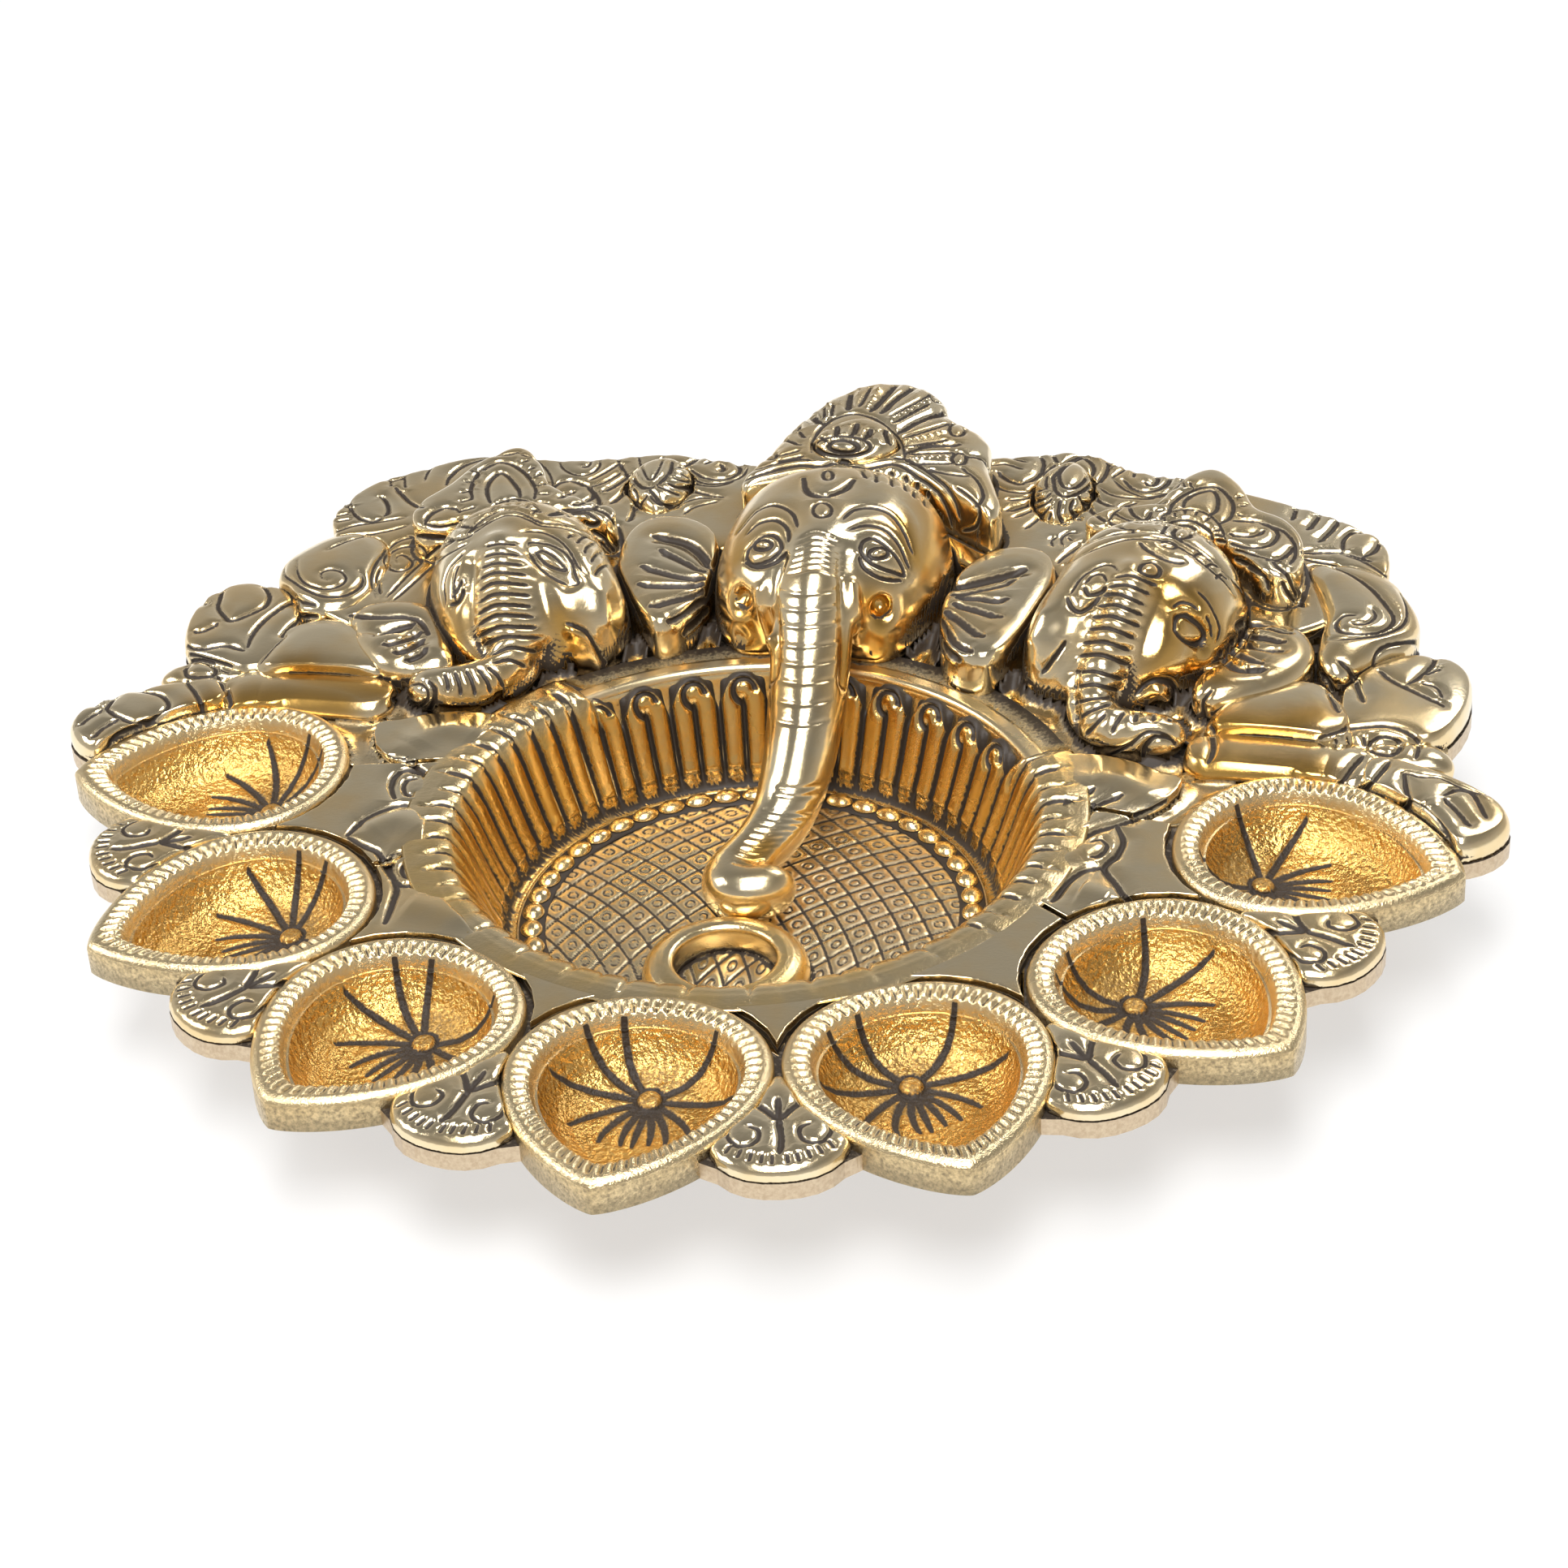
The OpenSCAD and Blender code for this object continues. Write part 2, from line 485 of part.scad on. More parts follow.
// fluted lotus petals standing on the bowl's floor against its wall
module lotus_lining() {
    up_r = bowl_r - bowl_flange - bowl_wall - seam;
    low_r = bowl_foot_r - bowl_wall - seam;
    top = plate_top - 1;
    steps = 4;
    n = flute_n * steps;
    turn = 360 / n;
    // one flute: how far it bulges inward and how far its round tip rises
    bulge = [0, 0.8, 1, 0.8];
    rise = [0, 2, 2.8, 2];
    // rings from the outer foot over the tips to the inner foot: radius, height, bulge and rise shares
    rings = [
        [low_r, floor_z, 0, 0],
        [up_r, top, 0, 0],
        [up_r - 0.3, top + 0.6, 0, 1],
        [up_r - 0.3 - lining_t * 0.7, top + 0.4, 0.5, 1],
        [up_r - lining_t - 0.5, top - 1.5, 1, 0],
        [(up_r + low_r) / 2 - lining_t - 0.4, (top + floor_z) / 2, 1, 0],
        [low_r - lining_t, floor_z, 1, 0]];
    k = len(rings);
    color(gold)
        translate([0, bowl_y + frame_y, 0])
            polyhedron(
                points = [for (q = rings, i = [0 : n - 1])
                    let (r = q[0] - q[2] * flute_d * bulge[i % steps])
                    [r * cos(i * turn), r * sin(i * turn), q[1] + q[3] * rise[i % steps]]],
                faces = [for (r = [0 : k - 1], i = [0 : n - 1])
                    each [
                        [r * n + i, ((r + 1) % k) * n + i, ((r + 1) % k) * n + (i + 1) % n],
                        [r * n + i, ((r + 1) % k) * n + (i + 1) % n, r * n + (i + 1) % n]]],
                convexity = 8);
}

// round beads on a low band, cast as one ring
module bead_ring() {
    band = bead_d * 0.3;
    color(pale)
        translate([0, bowl_y + frame_y, floor_z])
            union() {
                rotate_extrude($fn = 120)
                    translate([bead_ring_r - band, 0])
                        square([band * 2, bead_d * 0.25]);
                for (i = [0 : bead_n - 1])
                    rotate([0, 0, 360 * i / bead_n])
                        translate([bead_ring_r, 0, 0])
                            intersection() {
                                translate([0, 0, bead_d * 0.12])
                                    sphere(d = bead_d, $fn = 24);
                                translate([-bead_d, -bead_d, 0])
                                    cube([bead_d * 2, bead_d * 2, bead_d]);
                            }
            }
}

// plain ring that holds the middle lamp
module lamp_ring() {
    color(gold)
        translate([0, bowl_y - lamp_fwd + frame_y, floor_z])
            rotate_extrude($fn = 120)
                polygon([
                    [lamp_hole_r, 0],
                    [lamp_r, 0],
                    [lamp_r, lamp_h * 0.55],
                    [lamp_r - 1.6, lamp_h * 0.9],
                    [lamp_r - 3, lamp_h],
                    [lamp_hole_r, lamp_h]]);
}

module rim_leaf(i) {
    color(gold)
        translate([0, frame_y, 0])
            difference() {
                on_ring((i - (cup_count - 2) / 2) * cup_step)
                    dome(rim_leaf_o, [0, -ring_r - leaf_reach + 11], leaf_h, leaf_h * 0.45, 3);
                cup_cutters();
            }
}

// flat petal bending over from the bowl's flange into the corner between two cups; the first and
// the last fill the corner between an end cup and a side head's trunk
function petal_sector(i, g) =
    let (turn = (i - cup_count / 2) * cup_step, half = cup_step / 2)
    let (near = ring_r - cup_heel - 36, far = ring_r - 6)
    grow([for (q = [[near, -half], [far, -half], [far, half], [near, half]])
        [q[0] * sin(turn + q[1]), ring_y - q[0] * cos(turn + q[1])]], g);
module rim_petal(i) {
    first = i == 0;
    last = i == cup_count;
    o = first ? end_petal_o : last ? flip(end_petal_o) : petal_sector(i, -seam);
    color(pale)
        translate([0, frame_y, plate_top])
            linear_extrude(petal_h)
                difference() {
                    polygon(o);
                    if (first || last)
                        polygon(petal_sector(first ? 1 : cup_count - 1, seam));
                    for (j = [max(i - 1, 0) : min(i, cup_count - 1)])
                        translate([0, ring_y])
                            rotate((j - (cup_count - 1) / 2) * cup_step)
                                translate([0, -ring_r])
                                    polygon(cup_outline(1, petal_gap));
                    translate([0, bowl_y])
                        circle(r = bowl_r + seam, $fn = 180);
                }
}

module trunk_middle_body(g = 0) {
    tube(trunk_middle_p, g);
}
module trunk_left_body(g = 0) {
    tube(trunk_left_p, g);
}
module trunk_right_body(g = 0) {
    tube(trunk_right_p, g);
}

module head_middle() {
    color(gold)
        translate([0, frame_y, 0])
            difference() {
                dome(head_middle_o, at(0, 65), head_h, 4, 6);
                cutter(ear_middle_left_o);
                cutter(ear_middle_right_o);
                cutter(crown_middle_o);
                bowl_cutter();
                trunk_middle_body(seam);
                tusk_body(-1, seam);
                tusk_body(1, seam);
            }
}
module trunk_middle() {
    color(pale)
        translate([0, frame_y, 0])
            trunk_middle_body();
}
// short tusk beside the middle trunk
module tusk_body(s, g = 0) {
    difference() {
        tube(path([
            [s * 12.4, 44 + back_y, plate_top + head_h * 0.5, tusk_r * 0.5, tusk_r * 0.5],
            [s * 12.8, 42 + back_y, plate_top + head_h * 0.5, tusk_r, tusk_r],
            [s * 14.6, 43 + back_y - tusk_l * 0.55, plate_top + head_h * 0.44, tusk_r * 0.85, tusk_r * 0.85],
            [s * 17.4, 44 + back_y - tusk_l, plate_top + head_h * 0.42, tusk_r * 0.3, tusk_r * 0.3]], 2),
            g, 10);
        trunk_middle_body(seam + 0.01);
    }
}
module tusk_left() {
    color(pale)
        translate([0, frame_y, 0])
            difference() {
                tusk_body(-1);
                cutter(ear_middle_left_o);
            }
}
module tusk_right() {
    color(pale)
        translate([0, frame_y, 0])
            difference() {
                tusk_body(1);
                cutter(ear_middle_right_o);
            }
}
module ear_middle_left() {
    color(gold)
        translate([0, frame_y, 0])
            difference() {
                dome(ear_middle_left_o, at(-33, 60), ear_h, ear_h * 0.6, 4, 0.4);
                bowl_cutter();
            }
}
module ear_middle_right() {
    color(gold)
        translate([0, frame_y, 0])
            difference() {
                dome(ear_middle_right_o, at(33, 54), ear_h, ear_h * 0.6, 4, 0.4);
                bowl_cutter();
            }
}
module crown_middle() {
    color(pale)
        translate([0, frame_y, 0])
            difference() {
                dome(crown_middle_o, crown_middle_c, crown_h, crown_h * crown_edge, 4, 0.3);
                crown_gem_body(seam);
            }
}

// pear-shaped medallion set into the foot of the middle crown
module crown_gem_body(g = 0) {
    o = grow(crown_gem_o, g);
    skin(concat(
        [[for (p = o) [p[0], p[1], plate_top + crown_h - crown_gem_seat - g]]],
        [for (j = [0 : 4])
            let (a = 88 * j / 4)
            let (s = pow(cos(a), 0.5))
            [for (p = o) [crown_gem_c[0] + (p[0] - crown_gem_c[0]) * s,
                crown_gem_c[1] + (p[1] - crown_gem_c[1]) * s,
                plate_top + crown_h + (crown_gem_out + g) * sin(a)]]]));
}
module crown_gem() {
    color(gold)
        translate([0, frame_y, 0])
            crown_gem_body();
}

module head_left() {
    color(gold)
        translate([0, frame_y, 0])
            difference() {
                dome(head_left_o, at(-59, 50), side_head_h, 4, 6);
                cutter(ear_middle_left_o);
                cutter(crown_left_o);
                cutter(ear_left_o);
                bowl_cutter();
                trunk_left_body(seam);
            }
}
module trunk_left() {
    color(pale)
        translate([0, frame_y, 0])
            difference() {
                intersection() {
                    trunk_left_body();
                    above();
                }
                bowl_cutter();
            }
}
module ear_left() {
    color(gold)
        translate([0, frame_y, 0])
            dome(ear_left_o, at(-77, 30), side_ear_h, side_ear_h * 0.6, 4, 0.4);
}
module crown_left() {
    color(pale)
        translate([0, frame_y, 0])
            difference() {
                tiers(crown_left_o, side_crown_h, side_crown_edge);
                cutter(ear_middle_left_o);
            }
}

module head_right() {
    color(gold)
        translate([0, frame_y, 0])
            difference() {
                dome(head_right_o, at(60, 56), side_head_h, 4, 6);
                cutter(ear_middle_right_o);
                cutter(crown_right_o);
                cutter(ear_right_o);
                bowl_cutter();
                trunk_right_body(seam);
            }
}
module trunk_right() {
    color(pale)
        translate([0, frame_y, 0])
            difference() {
                intersection() {
                    trunk_right_body();
                    above();
                }
                bowl_cutter();
            }
}
module ear_right() {
    color(gold)
        translate([0, frame_y, 0])
            dome(ear_right_o, at(84, 39), side_ear_h, side_ear_h * 0.6, 4, 0.4);
}
module crown_right() {
    color(pale)
        translate([0, frame_y, 0])
            difference() {
                tiers(crown_right_o, side_crown_h, side_crown_edge);
                cutter(ear_middle_right_o);
            }
}

// forearm lying on the plate, with two bangles at the wrist
module forearm_lower(p, s) {
    b = len(p) - 2;
    union() {
        intersection() {
            tube(p, 0, 16);
            above();
        }
        for (k = [0, 1])
            intersection() {
                tube([
                    [p[b][0] + s * (0.4 - k * 1.35 * bangle_w), p[b][1] + k * 0.8, p[b][2],
                        p[b][3] + bangle_out, p[b][4] + bangle_out],
                    [p[b][0] - s * (bangle_w - 0.4 + k * 1.35 * bangle_w), p[b][1] + 0.4 + k * 0.8, p[b][2],
                        p[b][3] + bangle_out, p[b][4] + bangle_out]], 0, 16);
                above();
            }
    }
}
module forearm_lower_left() {
    color(pale)
        translate([0, frame_y, 0])
            difference() {
                forearm_lower(forearm_left_p, -1);
                cutter(hand_lower_left_o);
                cup_cutters();
                trunk_left_body(seam);
            }
}
module forearm_lower_right() {
    color(pale)
        translate([0, frame_y, 0])
            difference() {
                forearm_lower(forearm_right_p, 1);
                cutter(hand_lower_right_o);
                cup_cutters();
                trunk_right_body(seam);
            }
}
module hand_lower_left() {
    color(pale)
        translate([0, frame_y, 0])
            difference() {
                dome(hand_lower_left_o, at(-117, 1), hand_h, hand_h * 0.4, 4);
                cup_cutters();
            }
}
module hand_lower_right() {
    color(pale)
        translate([0, frame_y, 0])
            difference() {
                dome(hand_lower_right_o, at(117, 1), hand_h, hand_h * 0.4, 4);
                cup_cutters();
            }
}
module lower_arm_cutter(p) {
    translate([0, 0, plate_top - 1])
        linear_extrude(lid)
            polygon(concat(
                [for (q = p) [q[0], q[1] + arm_r + bangle_out + seam]],
                [for (i = [len(p) - 1 : -1 : 0]) [p[i][0], p[i][1] - arm_r]]));
}
module forearm_upper_left() {
    color(pale)
        translate([0, frame_y, 0])
            difference() {
                dome(forearm_upper_left_o, at(-91, 23), upper_arm_h, upper_arm_h * 0.3, 4);
                cutter(ear_left_o);
                cutter(hand_upper_left_o);
                lower_arm_cutter(forearm_left_p);
            }
}
module forearm_upper_right() {
    color(pale)
        translate([0, frame_y, 0])
            difference() {
                dome(forearm_upper_right_o, at(90, 23), upper_arm_h, upper_arm_h * 0.3, 4);
                cutter(ear_right_o);
                cutter(hand_upper_right_o);
                lower_arm_cutter(forearm_right_p);
            }
}
module hand_upper_left() {
    color(pale)
        translate([0, frame_y, 0])
            dome(hand_upper_left_o, at(-110, 36), hand_h, hand_h * 0.5, 4);
}
module hand_upper_right() {
    color(pale)
        translate([0, frame_y, 0])
            dome(hand_upper_right_o, at(110, 36), hand_h, hand_h * 0.5, 4);
}

// small rosette in the corner between the two hands
module rosette(o, c, arm, lower, upper, sleeve) {
    difference() {
        dome(o, c, rosette_h, rosette_h * 0.4, 3);
        lower_arm_cutter(arm);
        cutter(lower);
        cutter(upper);
        cutter(sleeve);
    }
}
module rosette_left() {
    color(gold)
        translate([0, frame_y, 0])
            rosette(rosette_left_o, at(-111, 15.5), forearm_left_p, hand_lower_left_o, hand_upper_left_o,
                forearm_upper_left_o);
}
module rosette_right() {
    color(gold)
        translate([0, frame_y, 0])
            rosette(rosette_right_o, at(111, 15.5), forearm_right_p, hand_lower_right_o, hand_upper_right_o,
                forearm_upper_right_o);
}
module lotus_bud_left() {
    color(pale)
        translate([0, frame_y, 0])
            dome(bud_left_o, at(-43, 94), bud_h, bud_h * 0.6, 3);
}
module lotus_bud_right() {
    color(pale)
        translate([0, frame_y, 0])
            dome(bud_right_o, at(38, 101), bud_h, bud_h * 0.6, 3);
}
module volute_left() {
    color(gold)
        translate([0, frame_y, 0])
            difference() {
                dome(volute_left_o, at(-97, 52), volute_h, volute_h * 0.6, 3);
                cutter(hand_upper_left_o);
                cutter(forearm_upper_left_o);
            }
}
module volute_right() {
    color(gold)
        translate([0, frame_y, 0])
            difference() {
                dome(volute_right_o, at(100, 57), volute_h, volute_h * 0.6, 3);
                cutter(hand_upper_right_o);
            }
}
// slab behind the heads, cut round every piece that stands in it
module scroll_panel(o, holes) {
    color(amber)
        translate([0, frame_y, plate_top])
            linear_extrude(panel_h)
                difference() {
                    polygon(o);
                    for (h = holes)
                        polygon(grow(h, seam));
                    translate([0, bowl_y])
                        circle(r = bowl_r + seam, $fn = 180);
                }
}
module scroll_panel_left() {
    scroll_panel(panel_left_o, [head_middle_o, ear_middle_left_o, crown_middle_o, head_left_o,
        crown_left_o, ear_left_o, forearm_upper_left_o, hand_upper_left_o, volute_left_o, bud_left_o]);
}
module scroll_panel_right() {
    scroll_panel(panel_right_o, [head_middle_o, ear_middle_right_o, crown_middle_o, head_right_o,
        crown_right_o, ear_right_o, forearm_upper_right_o, hand_upper_right_o, volute_right_o, bud_right_o]);
}

// tapered foot under the back of the plate, as high as the bowl is deep
module back_foot(s) {
    color(amber)
        translate([s * foot_x, ring_y + foot_y + frame_y, 0])
            cylinder(r1 = foot_r, r2 = foot_top_r, h = plate_bot, $fn = 64);
}

base_plate();
offering_bowl();
lotus_lining();
bead_ring();
lamp_ring();
oil_cup(0);  // oil_cup_1
oil_cup(1);  // oil_cup_2
oil_cup(2);  // oil_cup_3
oil_cup(3);  // oil_cup_4
oil_cup(4);  // oil_cup_5
oil_cup(5);  // oil_cup_6
oil_cup(6);  // oil_cup_7
rim_leaf(0);  // rim_leaf_1
rim_leaf(1);  // rim_leaf_2
rim_leaf(2);  // rim_leaf_3
rim_leaf(3);  // rim_leaf_4
rim_leaf(4);  // rim_leaf_5
rim_leaf(5);  // rim_leaf_6
rim_petal(0);  // rim_petal_1
rim_petal(1);  // rim_petal_2
rim_petal(2);  // rim_petal_3
rim_petal(3);  // rim_petal_4
rim_petal(4);  // rim_petal_5
rim_petal(5);  // rim_petal_6
rim_petal(6);  // rim_petal_7
rim_petal(7);  // rim_petal_8
head_middle();
trunk_middle();
tusk_left();
tusk_right();
ear_middle_left();
ear_middle_right();
crown_middle();
crown_gem();
head_left();
trunk_left();
ear_left();
crown_left();
head_right();
trunk_right();
ear_right();
crown_right();
forearm_lower_left();
hand_lower_left();
forearm_upper_left();
hand_upper_left();
forearm_lower_right();
hand_lower_right();
forearm_upper_right();
hand_upper_right();
rosette_left();
rosette_right();
lotus_bud_left();
lotus_bud_right();
scroll_panel_left();
scroll_panel_right();
volute_left();
volute_right();
back_foot(-1);  // foot_left
back_foot(1);  // foot_right
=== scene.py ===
import math
import bmesh
import bpy
import numpy as np
from mathutils import Matrix, Vector
from mathutils.bvhtree import BVHTree
from mathutils.kdtree import KDTree


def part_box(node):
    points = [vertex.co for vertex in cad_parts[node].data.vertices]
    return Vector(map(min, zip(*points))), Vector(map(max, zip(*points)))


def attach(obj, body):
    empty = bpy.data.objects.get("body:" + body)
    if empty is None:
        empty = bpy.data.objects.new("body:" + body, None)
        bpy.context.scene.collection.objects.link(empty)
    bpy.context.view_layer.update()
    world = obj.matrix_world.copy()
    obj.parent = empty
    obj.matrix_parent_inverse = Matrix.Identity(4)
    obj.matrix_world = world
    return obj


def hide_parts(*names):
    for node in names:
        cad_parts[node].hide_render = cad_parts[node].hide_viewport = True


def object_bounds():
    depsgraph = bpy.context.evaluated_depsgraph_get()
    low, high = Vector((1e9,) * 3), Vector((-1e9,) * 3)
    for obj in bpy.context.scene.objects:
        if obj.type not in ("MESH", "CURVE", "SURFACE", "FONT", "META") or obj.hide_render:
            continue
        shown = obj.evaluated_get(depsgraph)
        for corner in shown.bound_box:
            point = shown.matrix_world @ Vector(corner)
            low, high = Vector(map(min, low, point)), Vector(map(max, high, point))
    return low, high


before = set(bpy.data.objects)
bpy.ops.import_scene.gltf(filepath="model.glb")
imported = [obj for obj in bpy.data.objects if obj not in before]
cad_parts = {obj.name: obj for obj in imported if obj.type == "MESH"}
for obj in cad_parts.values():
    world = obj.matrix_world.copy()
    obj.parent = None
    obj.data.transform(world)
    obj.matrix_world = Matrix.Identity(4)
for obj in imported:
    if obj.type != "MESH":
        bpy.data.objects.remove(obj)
cad_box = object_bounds()

# The camera stands where the photograph was taken: low in front, a little to the right of the tray,
# slightly rolled, with a long lens that is given in the photograph's own pixels.
mm = 0.001
scene = bpy.context.scene
turn, tilt, roll = math.radians(14.5), math.radians(31.5), math.radians(-3.7)
aim = Vector((0, -3.25 * mm, 25 * mm))
back = Vector((math.sin(turn) * math.cos(tilt), -math.cos(turn) * math.cos(tilt), math.sin(tilt)))
right = Vector((math.cos(turn), math.sin(turn), 0))
up = back.cross(right)
side = right * math.cos(roll) + up * math.sin(roll)
top = up * math.cos(roll) - right * math.sin(roll)
eye = aim + back * 649.4 * mm
frame_px, focal_px, middle_px = 1932, 4510.4, (943.9, 932.9)
lens = bpy.data.cameras.new("lens")
lens.sensor_width = 36
lens.lens = lens.sensor_width * focal_px / frame_px
lens.shift_x = 0.5 - middle_px[0] / frame_px
lens.shift_y = middle_px[1] / frame_px - 0.5
camera = bpy.data.objects.new("camera", lens)
camera.matrix_world = Matrix.Translation(eye) @ Matrix((side, top, back)).transposed().to_4x4()
scene.collection.objects.link(camera)
scene.camera = camera

# The base plate is the flat web of the casting under all the relief: its top is left dark with wax,
# its cut edge is filed bright and its underside is rough from the mould. Two feet carry its back.
# the brown of dark wax; on the castings it also paints shade in the crevices, in the cups and behind the
# lotus tips
wax_and_shade_brown = (0.035, 0.024, 0.016)


def nodes_of(name):
    finish = bpy.data.materials.new(name)
    finish.use_nodes = True
    tree = finish.node_tree
    return finish, tree, tree.nodes["Principled BSDF"]


def noise(tree, size, detail=3, rough=0.55, stretch=None):
    where = tree.nodes.new("ShaderNodeTexCoord").outputs["Object"]
    if stretch:
        drawn_out = tree.nodes.new("ShaderNodeMapping")
        drawn_out.inputs["Scale"].default_value = stretch
        tree.links.new(where, drawn_out.inputs["Vector"])
        where = drawn_out.outputs["Vector"]
    grain = tree.nodes.new("ShaderNodeTexNoise")
    for socket, number in (("Scale", 1 / size), ("Detail", detail), ("Roughness", rough)):
        grain.inputs[socket].default_value = number
    tree.links.new(where, grain.inputs["Vector"])
    return grain.outputs["Fac"]


def ramp(tree, value, low, high, out_low=0.0, out_high=1.0):
    node = tree.nodes.new("ShaderNodeMapRange")
    node.interpolation_type = "SMOOTHSTEP"
    for socket, number in zip(("From Min", "From Max", "To Min", "To Max"), (low, high, out_low, out_high)):
        node.inputs[socket].default_value = number
    tree.links.new(value, node.inputs["Value"])
    return node.outputs["Result"]


def sums(tree, kind, a, b):
    node = tree.nodes.new("ShaderNodeMath")
    node.operation = kind
    for socket, value in zip(node.inputs, (a, b)):
        if isinstance(value, (int, float)):
            socket.default_value = value
        else:
            tree.links.new(value, socket)
    return node.outputs["Value"]


def mixed(tree, share, a, b):
    node = tree.nodes.new("ShaderNodeMix")
    node.data_type = "RGBA"
    tree.links.new(share, node.inputs["Factor"])
    for socket, value in zip((node.inputs["A"], node.inputs["B"]), (a, b)):
        if isinstance(value, tuple):
            socket.default_value = (*value, 1)
        else:
            tree.links.new(value, socket)
    return node.outputs["Result"]


def bumped(tree, skin, height, strength, depth):
    bump = tree.nodes.new("ShaderNodeBump")
    bump.inputs["Strength"].default_value = strength
    bump.inputs["Distance"].default_value = depth
    tree.links.new(height, bump.inputs["Height"])
    tree.links.new(bump.outputs["Normal"], skin.inputs["Normal"])


web, tree, skin = nodes_of("waxed_web")
facing = tree.nodes.new("ShaderNodeNewGeometry")
normal = tree.nodes.new("ShaderNodeSeparateXYZ")
tree.links.new(facing.outputs["True Normal"], normal.inputs["Vector"])
sand = noise(tree, 0.8 * mm, 4, 0.65)
file_marks = noise(tree, 0.625 * mm, 2, 0.5, (1, 1, 0.08))
upward = ramp(tree, normal.outputs["Z"], 0.5, 0.7)
downward = ramp(tree, sums(tree, "MULTIPLY", normal.outputs["Z"], -1), 0.5, 0.7)
darkened = sums(tree, "MULTIPLY", upward, ramp(tree, sand, 0.38, 0.5, 0.82, 1))
filed = mixed(tree, ramp(tree, sand, 0.3, 0.7), (0.70, 0.57, 0.40), (0.56, 0.43, 0.29))
dulled = mixed(tree, downward, filed, (0.62, 0.50, 0.30))
tree.links.new(mixed(tree, darkened, dulled, wax_and_shade_brown), skin.inputs["Base Color"])
tree.links.new(ramp(tree, darkened, 0, 1, 1, 0.2), skin.inputs["Metallic"])
dull = sums(tree, "MAXIMUM", ramp(tree, darkened, 0, 1, 0.34, 0.7), ramp(tree, downward, 0, 1, 0.2, 0.5))
tree.links.new(dull, skin.inputs["Roughness"])
bumped(tree, skin, sums(tree, "ADD", file_marks, sand), 0.35, 0.2 * mm)
for name in ("base_plate", "foot_left", "foot_right"):
    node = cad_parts[name].data
    node.materials.clear()
    node.materials.append(web)

# The offering bowl is the deep round dish in the middle, cast thin, with a low flange on the plate.
# Its floor is chased with two crossing sets of arcs and a small punched ring in every diamond.
# the amber is the deep tone put into the hollows: partly the metal's own colour, partly painted shade and
# warm reflected light
pale_gold, warm_gold, amber_shade = (0.86, 0.70, 0.42), (0.84, 0.60, 0.25), (0.73, 0.42, 0.09)
castings = []
plan_y = (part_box("lamp_ring")[0].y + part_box("lamp_ring")[1].y) / 2 + 37 * mm
bowl_mid = Vector((0, plan_y - 17 * mm, 0))
floor_r, floor_z, lattice_pitch = 42.6, 2.6, 4.7


def mark(tree, name):
    node = tree.nodes.new("ShaderNodeAttribute")
    node.attribute_name = name
    return node.outputs["Fac"]


def antique_gold(name, high, low, rough, grain, hammered):
    finish, tree, skin = nodes_of(name)
    cloud = noise(tree, 16 * mm)
    fine = noise(tree, 0.7 * mm, 3, 0.6)
    recess_shade = mark(tree, "hollow")
    wear = sums(tree, "MULTIPLY", sums(tree, "SUBTRACT", fine, 0.5), 0.5)
    # Toward dark wax brown: dark wax in the chased cuts, and painted shade in the crevices, cups and behind
    # the lotus tips.
    darkened = ramp(tree, sums(tree, "ADD", mark(tree, "wax_and_shade"), wear), 0.3, 0.72)
    metal = mixed(tree, ramp(tree, cloud, 0.35, 0.7), high, low)
    # Toward deep amber in the hollows: partly the metal's own colour, partly painted shade and warm reflected
    # light between the walls.
    metal = mixed(tree, sums(tree, "MULTIPLY", recess_shade, 0.9), metal, amber_shade)
    tree.links.new(mixed(tree, darkened, metal, wax_and_shade_brown), skin.inputs["Base Color"])
    tree.links.new(ramp(tree, darkened, 0.2, 1, 1, 0.15), skin.inputs["Metallic"])
    polish = ramp(tree, cloud, 0.3, 0.75, rough - 0.05, rough + 0.07)
    tree.links.new(sums(tree, "ADD", polish, ramp(tree, darkened, 0, 1, 0, 0.35)), skin.inputs["Roughness"])
    pits = sums(tree, "MULTIPLY", noise(tree, 0.28 * mm, 2), 0.5)
    dents = sums(tree, "MULTIPLY", noise(tree, 1.0 * mm, 2), sums(tree, "MULTIPLY", recess_shade, hammered))
    bumped(tree, skin, sums(tree, "ADD", sums(tree, "ADD", fine, pits), dents), grain, 0.3 * mm)
    return finish


def finished(bm, name, finish, nodes):
    bmesh.ops.remove_doubles(bm, verts=bm.verts, dist=0.002 * mm)
    bmesh.ops.recalc_face_normals(bm, faces=bm.faces)
    mesh = bpy.data.meshes.new(name)
    bm.to_mesh(mesh)
    bm.free()
    return placed(mesh, name, finish, nodes)


def placed(mesh, name, finish, nodes):
    piece = bpy.data.objects.new(name, mesh)
    scene.collection.objects.link(piece)
    mesh.shade_smooth()
    mesh.materials.clear()
    mesh.materials.append(finish)
    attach(piece, "root")
    if nodes:
        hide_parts(*nodes)
    castings.append(piece)
    return piece


def turned(profile, steps, middle):
    bm = bmesh.new()
    points = [bm.verts.new((r * mm, 0, z * mm)) for r, z in profile]
    edges = [bm.edges.new(pair) for pair in zip(points, points[1:])]
    bmesh.ops.spin(bm, geom=points + edges, cent=(0, 0, 0), axis=(0, 0, 1), angle=math.tau, steps=steps,
                   use_merge=True)
    bmesh.ops.remove_doubles(bm, verts=bm.verts, dist=0.002 * mm)
    bmesh.ops.translate(bm, verts=bm.verts, vec=middle)
    return bm


def spaced(points, gap):
    path = [points[0]]
    for a, b in zip(points, points[1:]):
        count = max(1, round(math.dist(a, b) / gap))
        path += [tuple(p + (q - p) * (i + 1) / count for p, q in zip(a, b)) for i in range(count)]
    return path


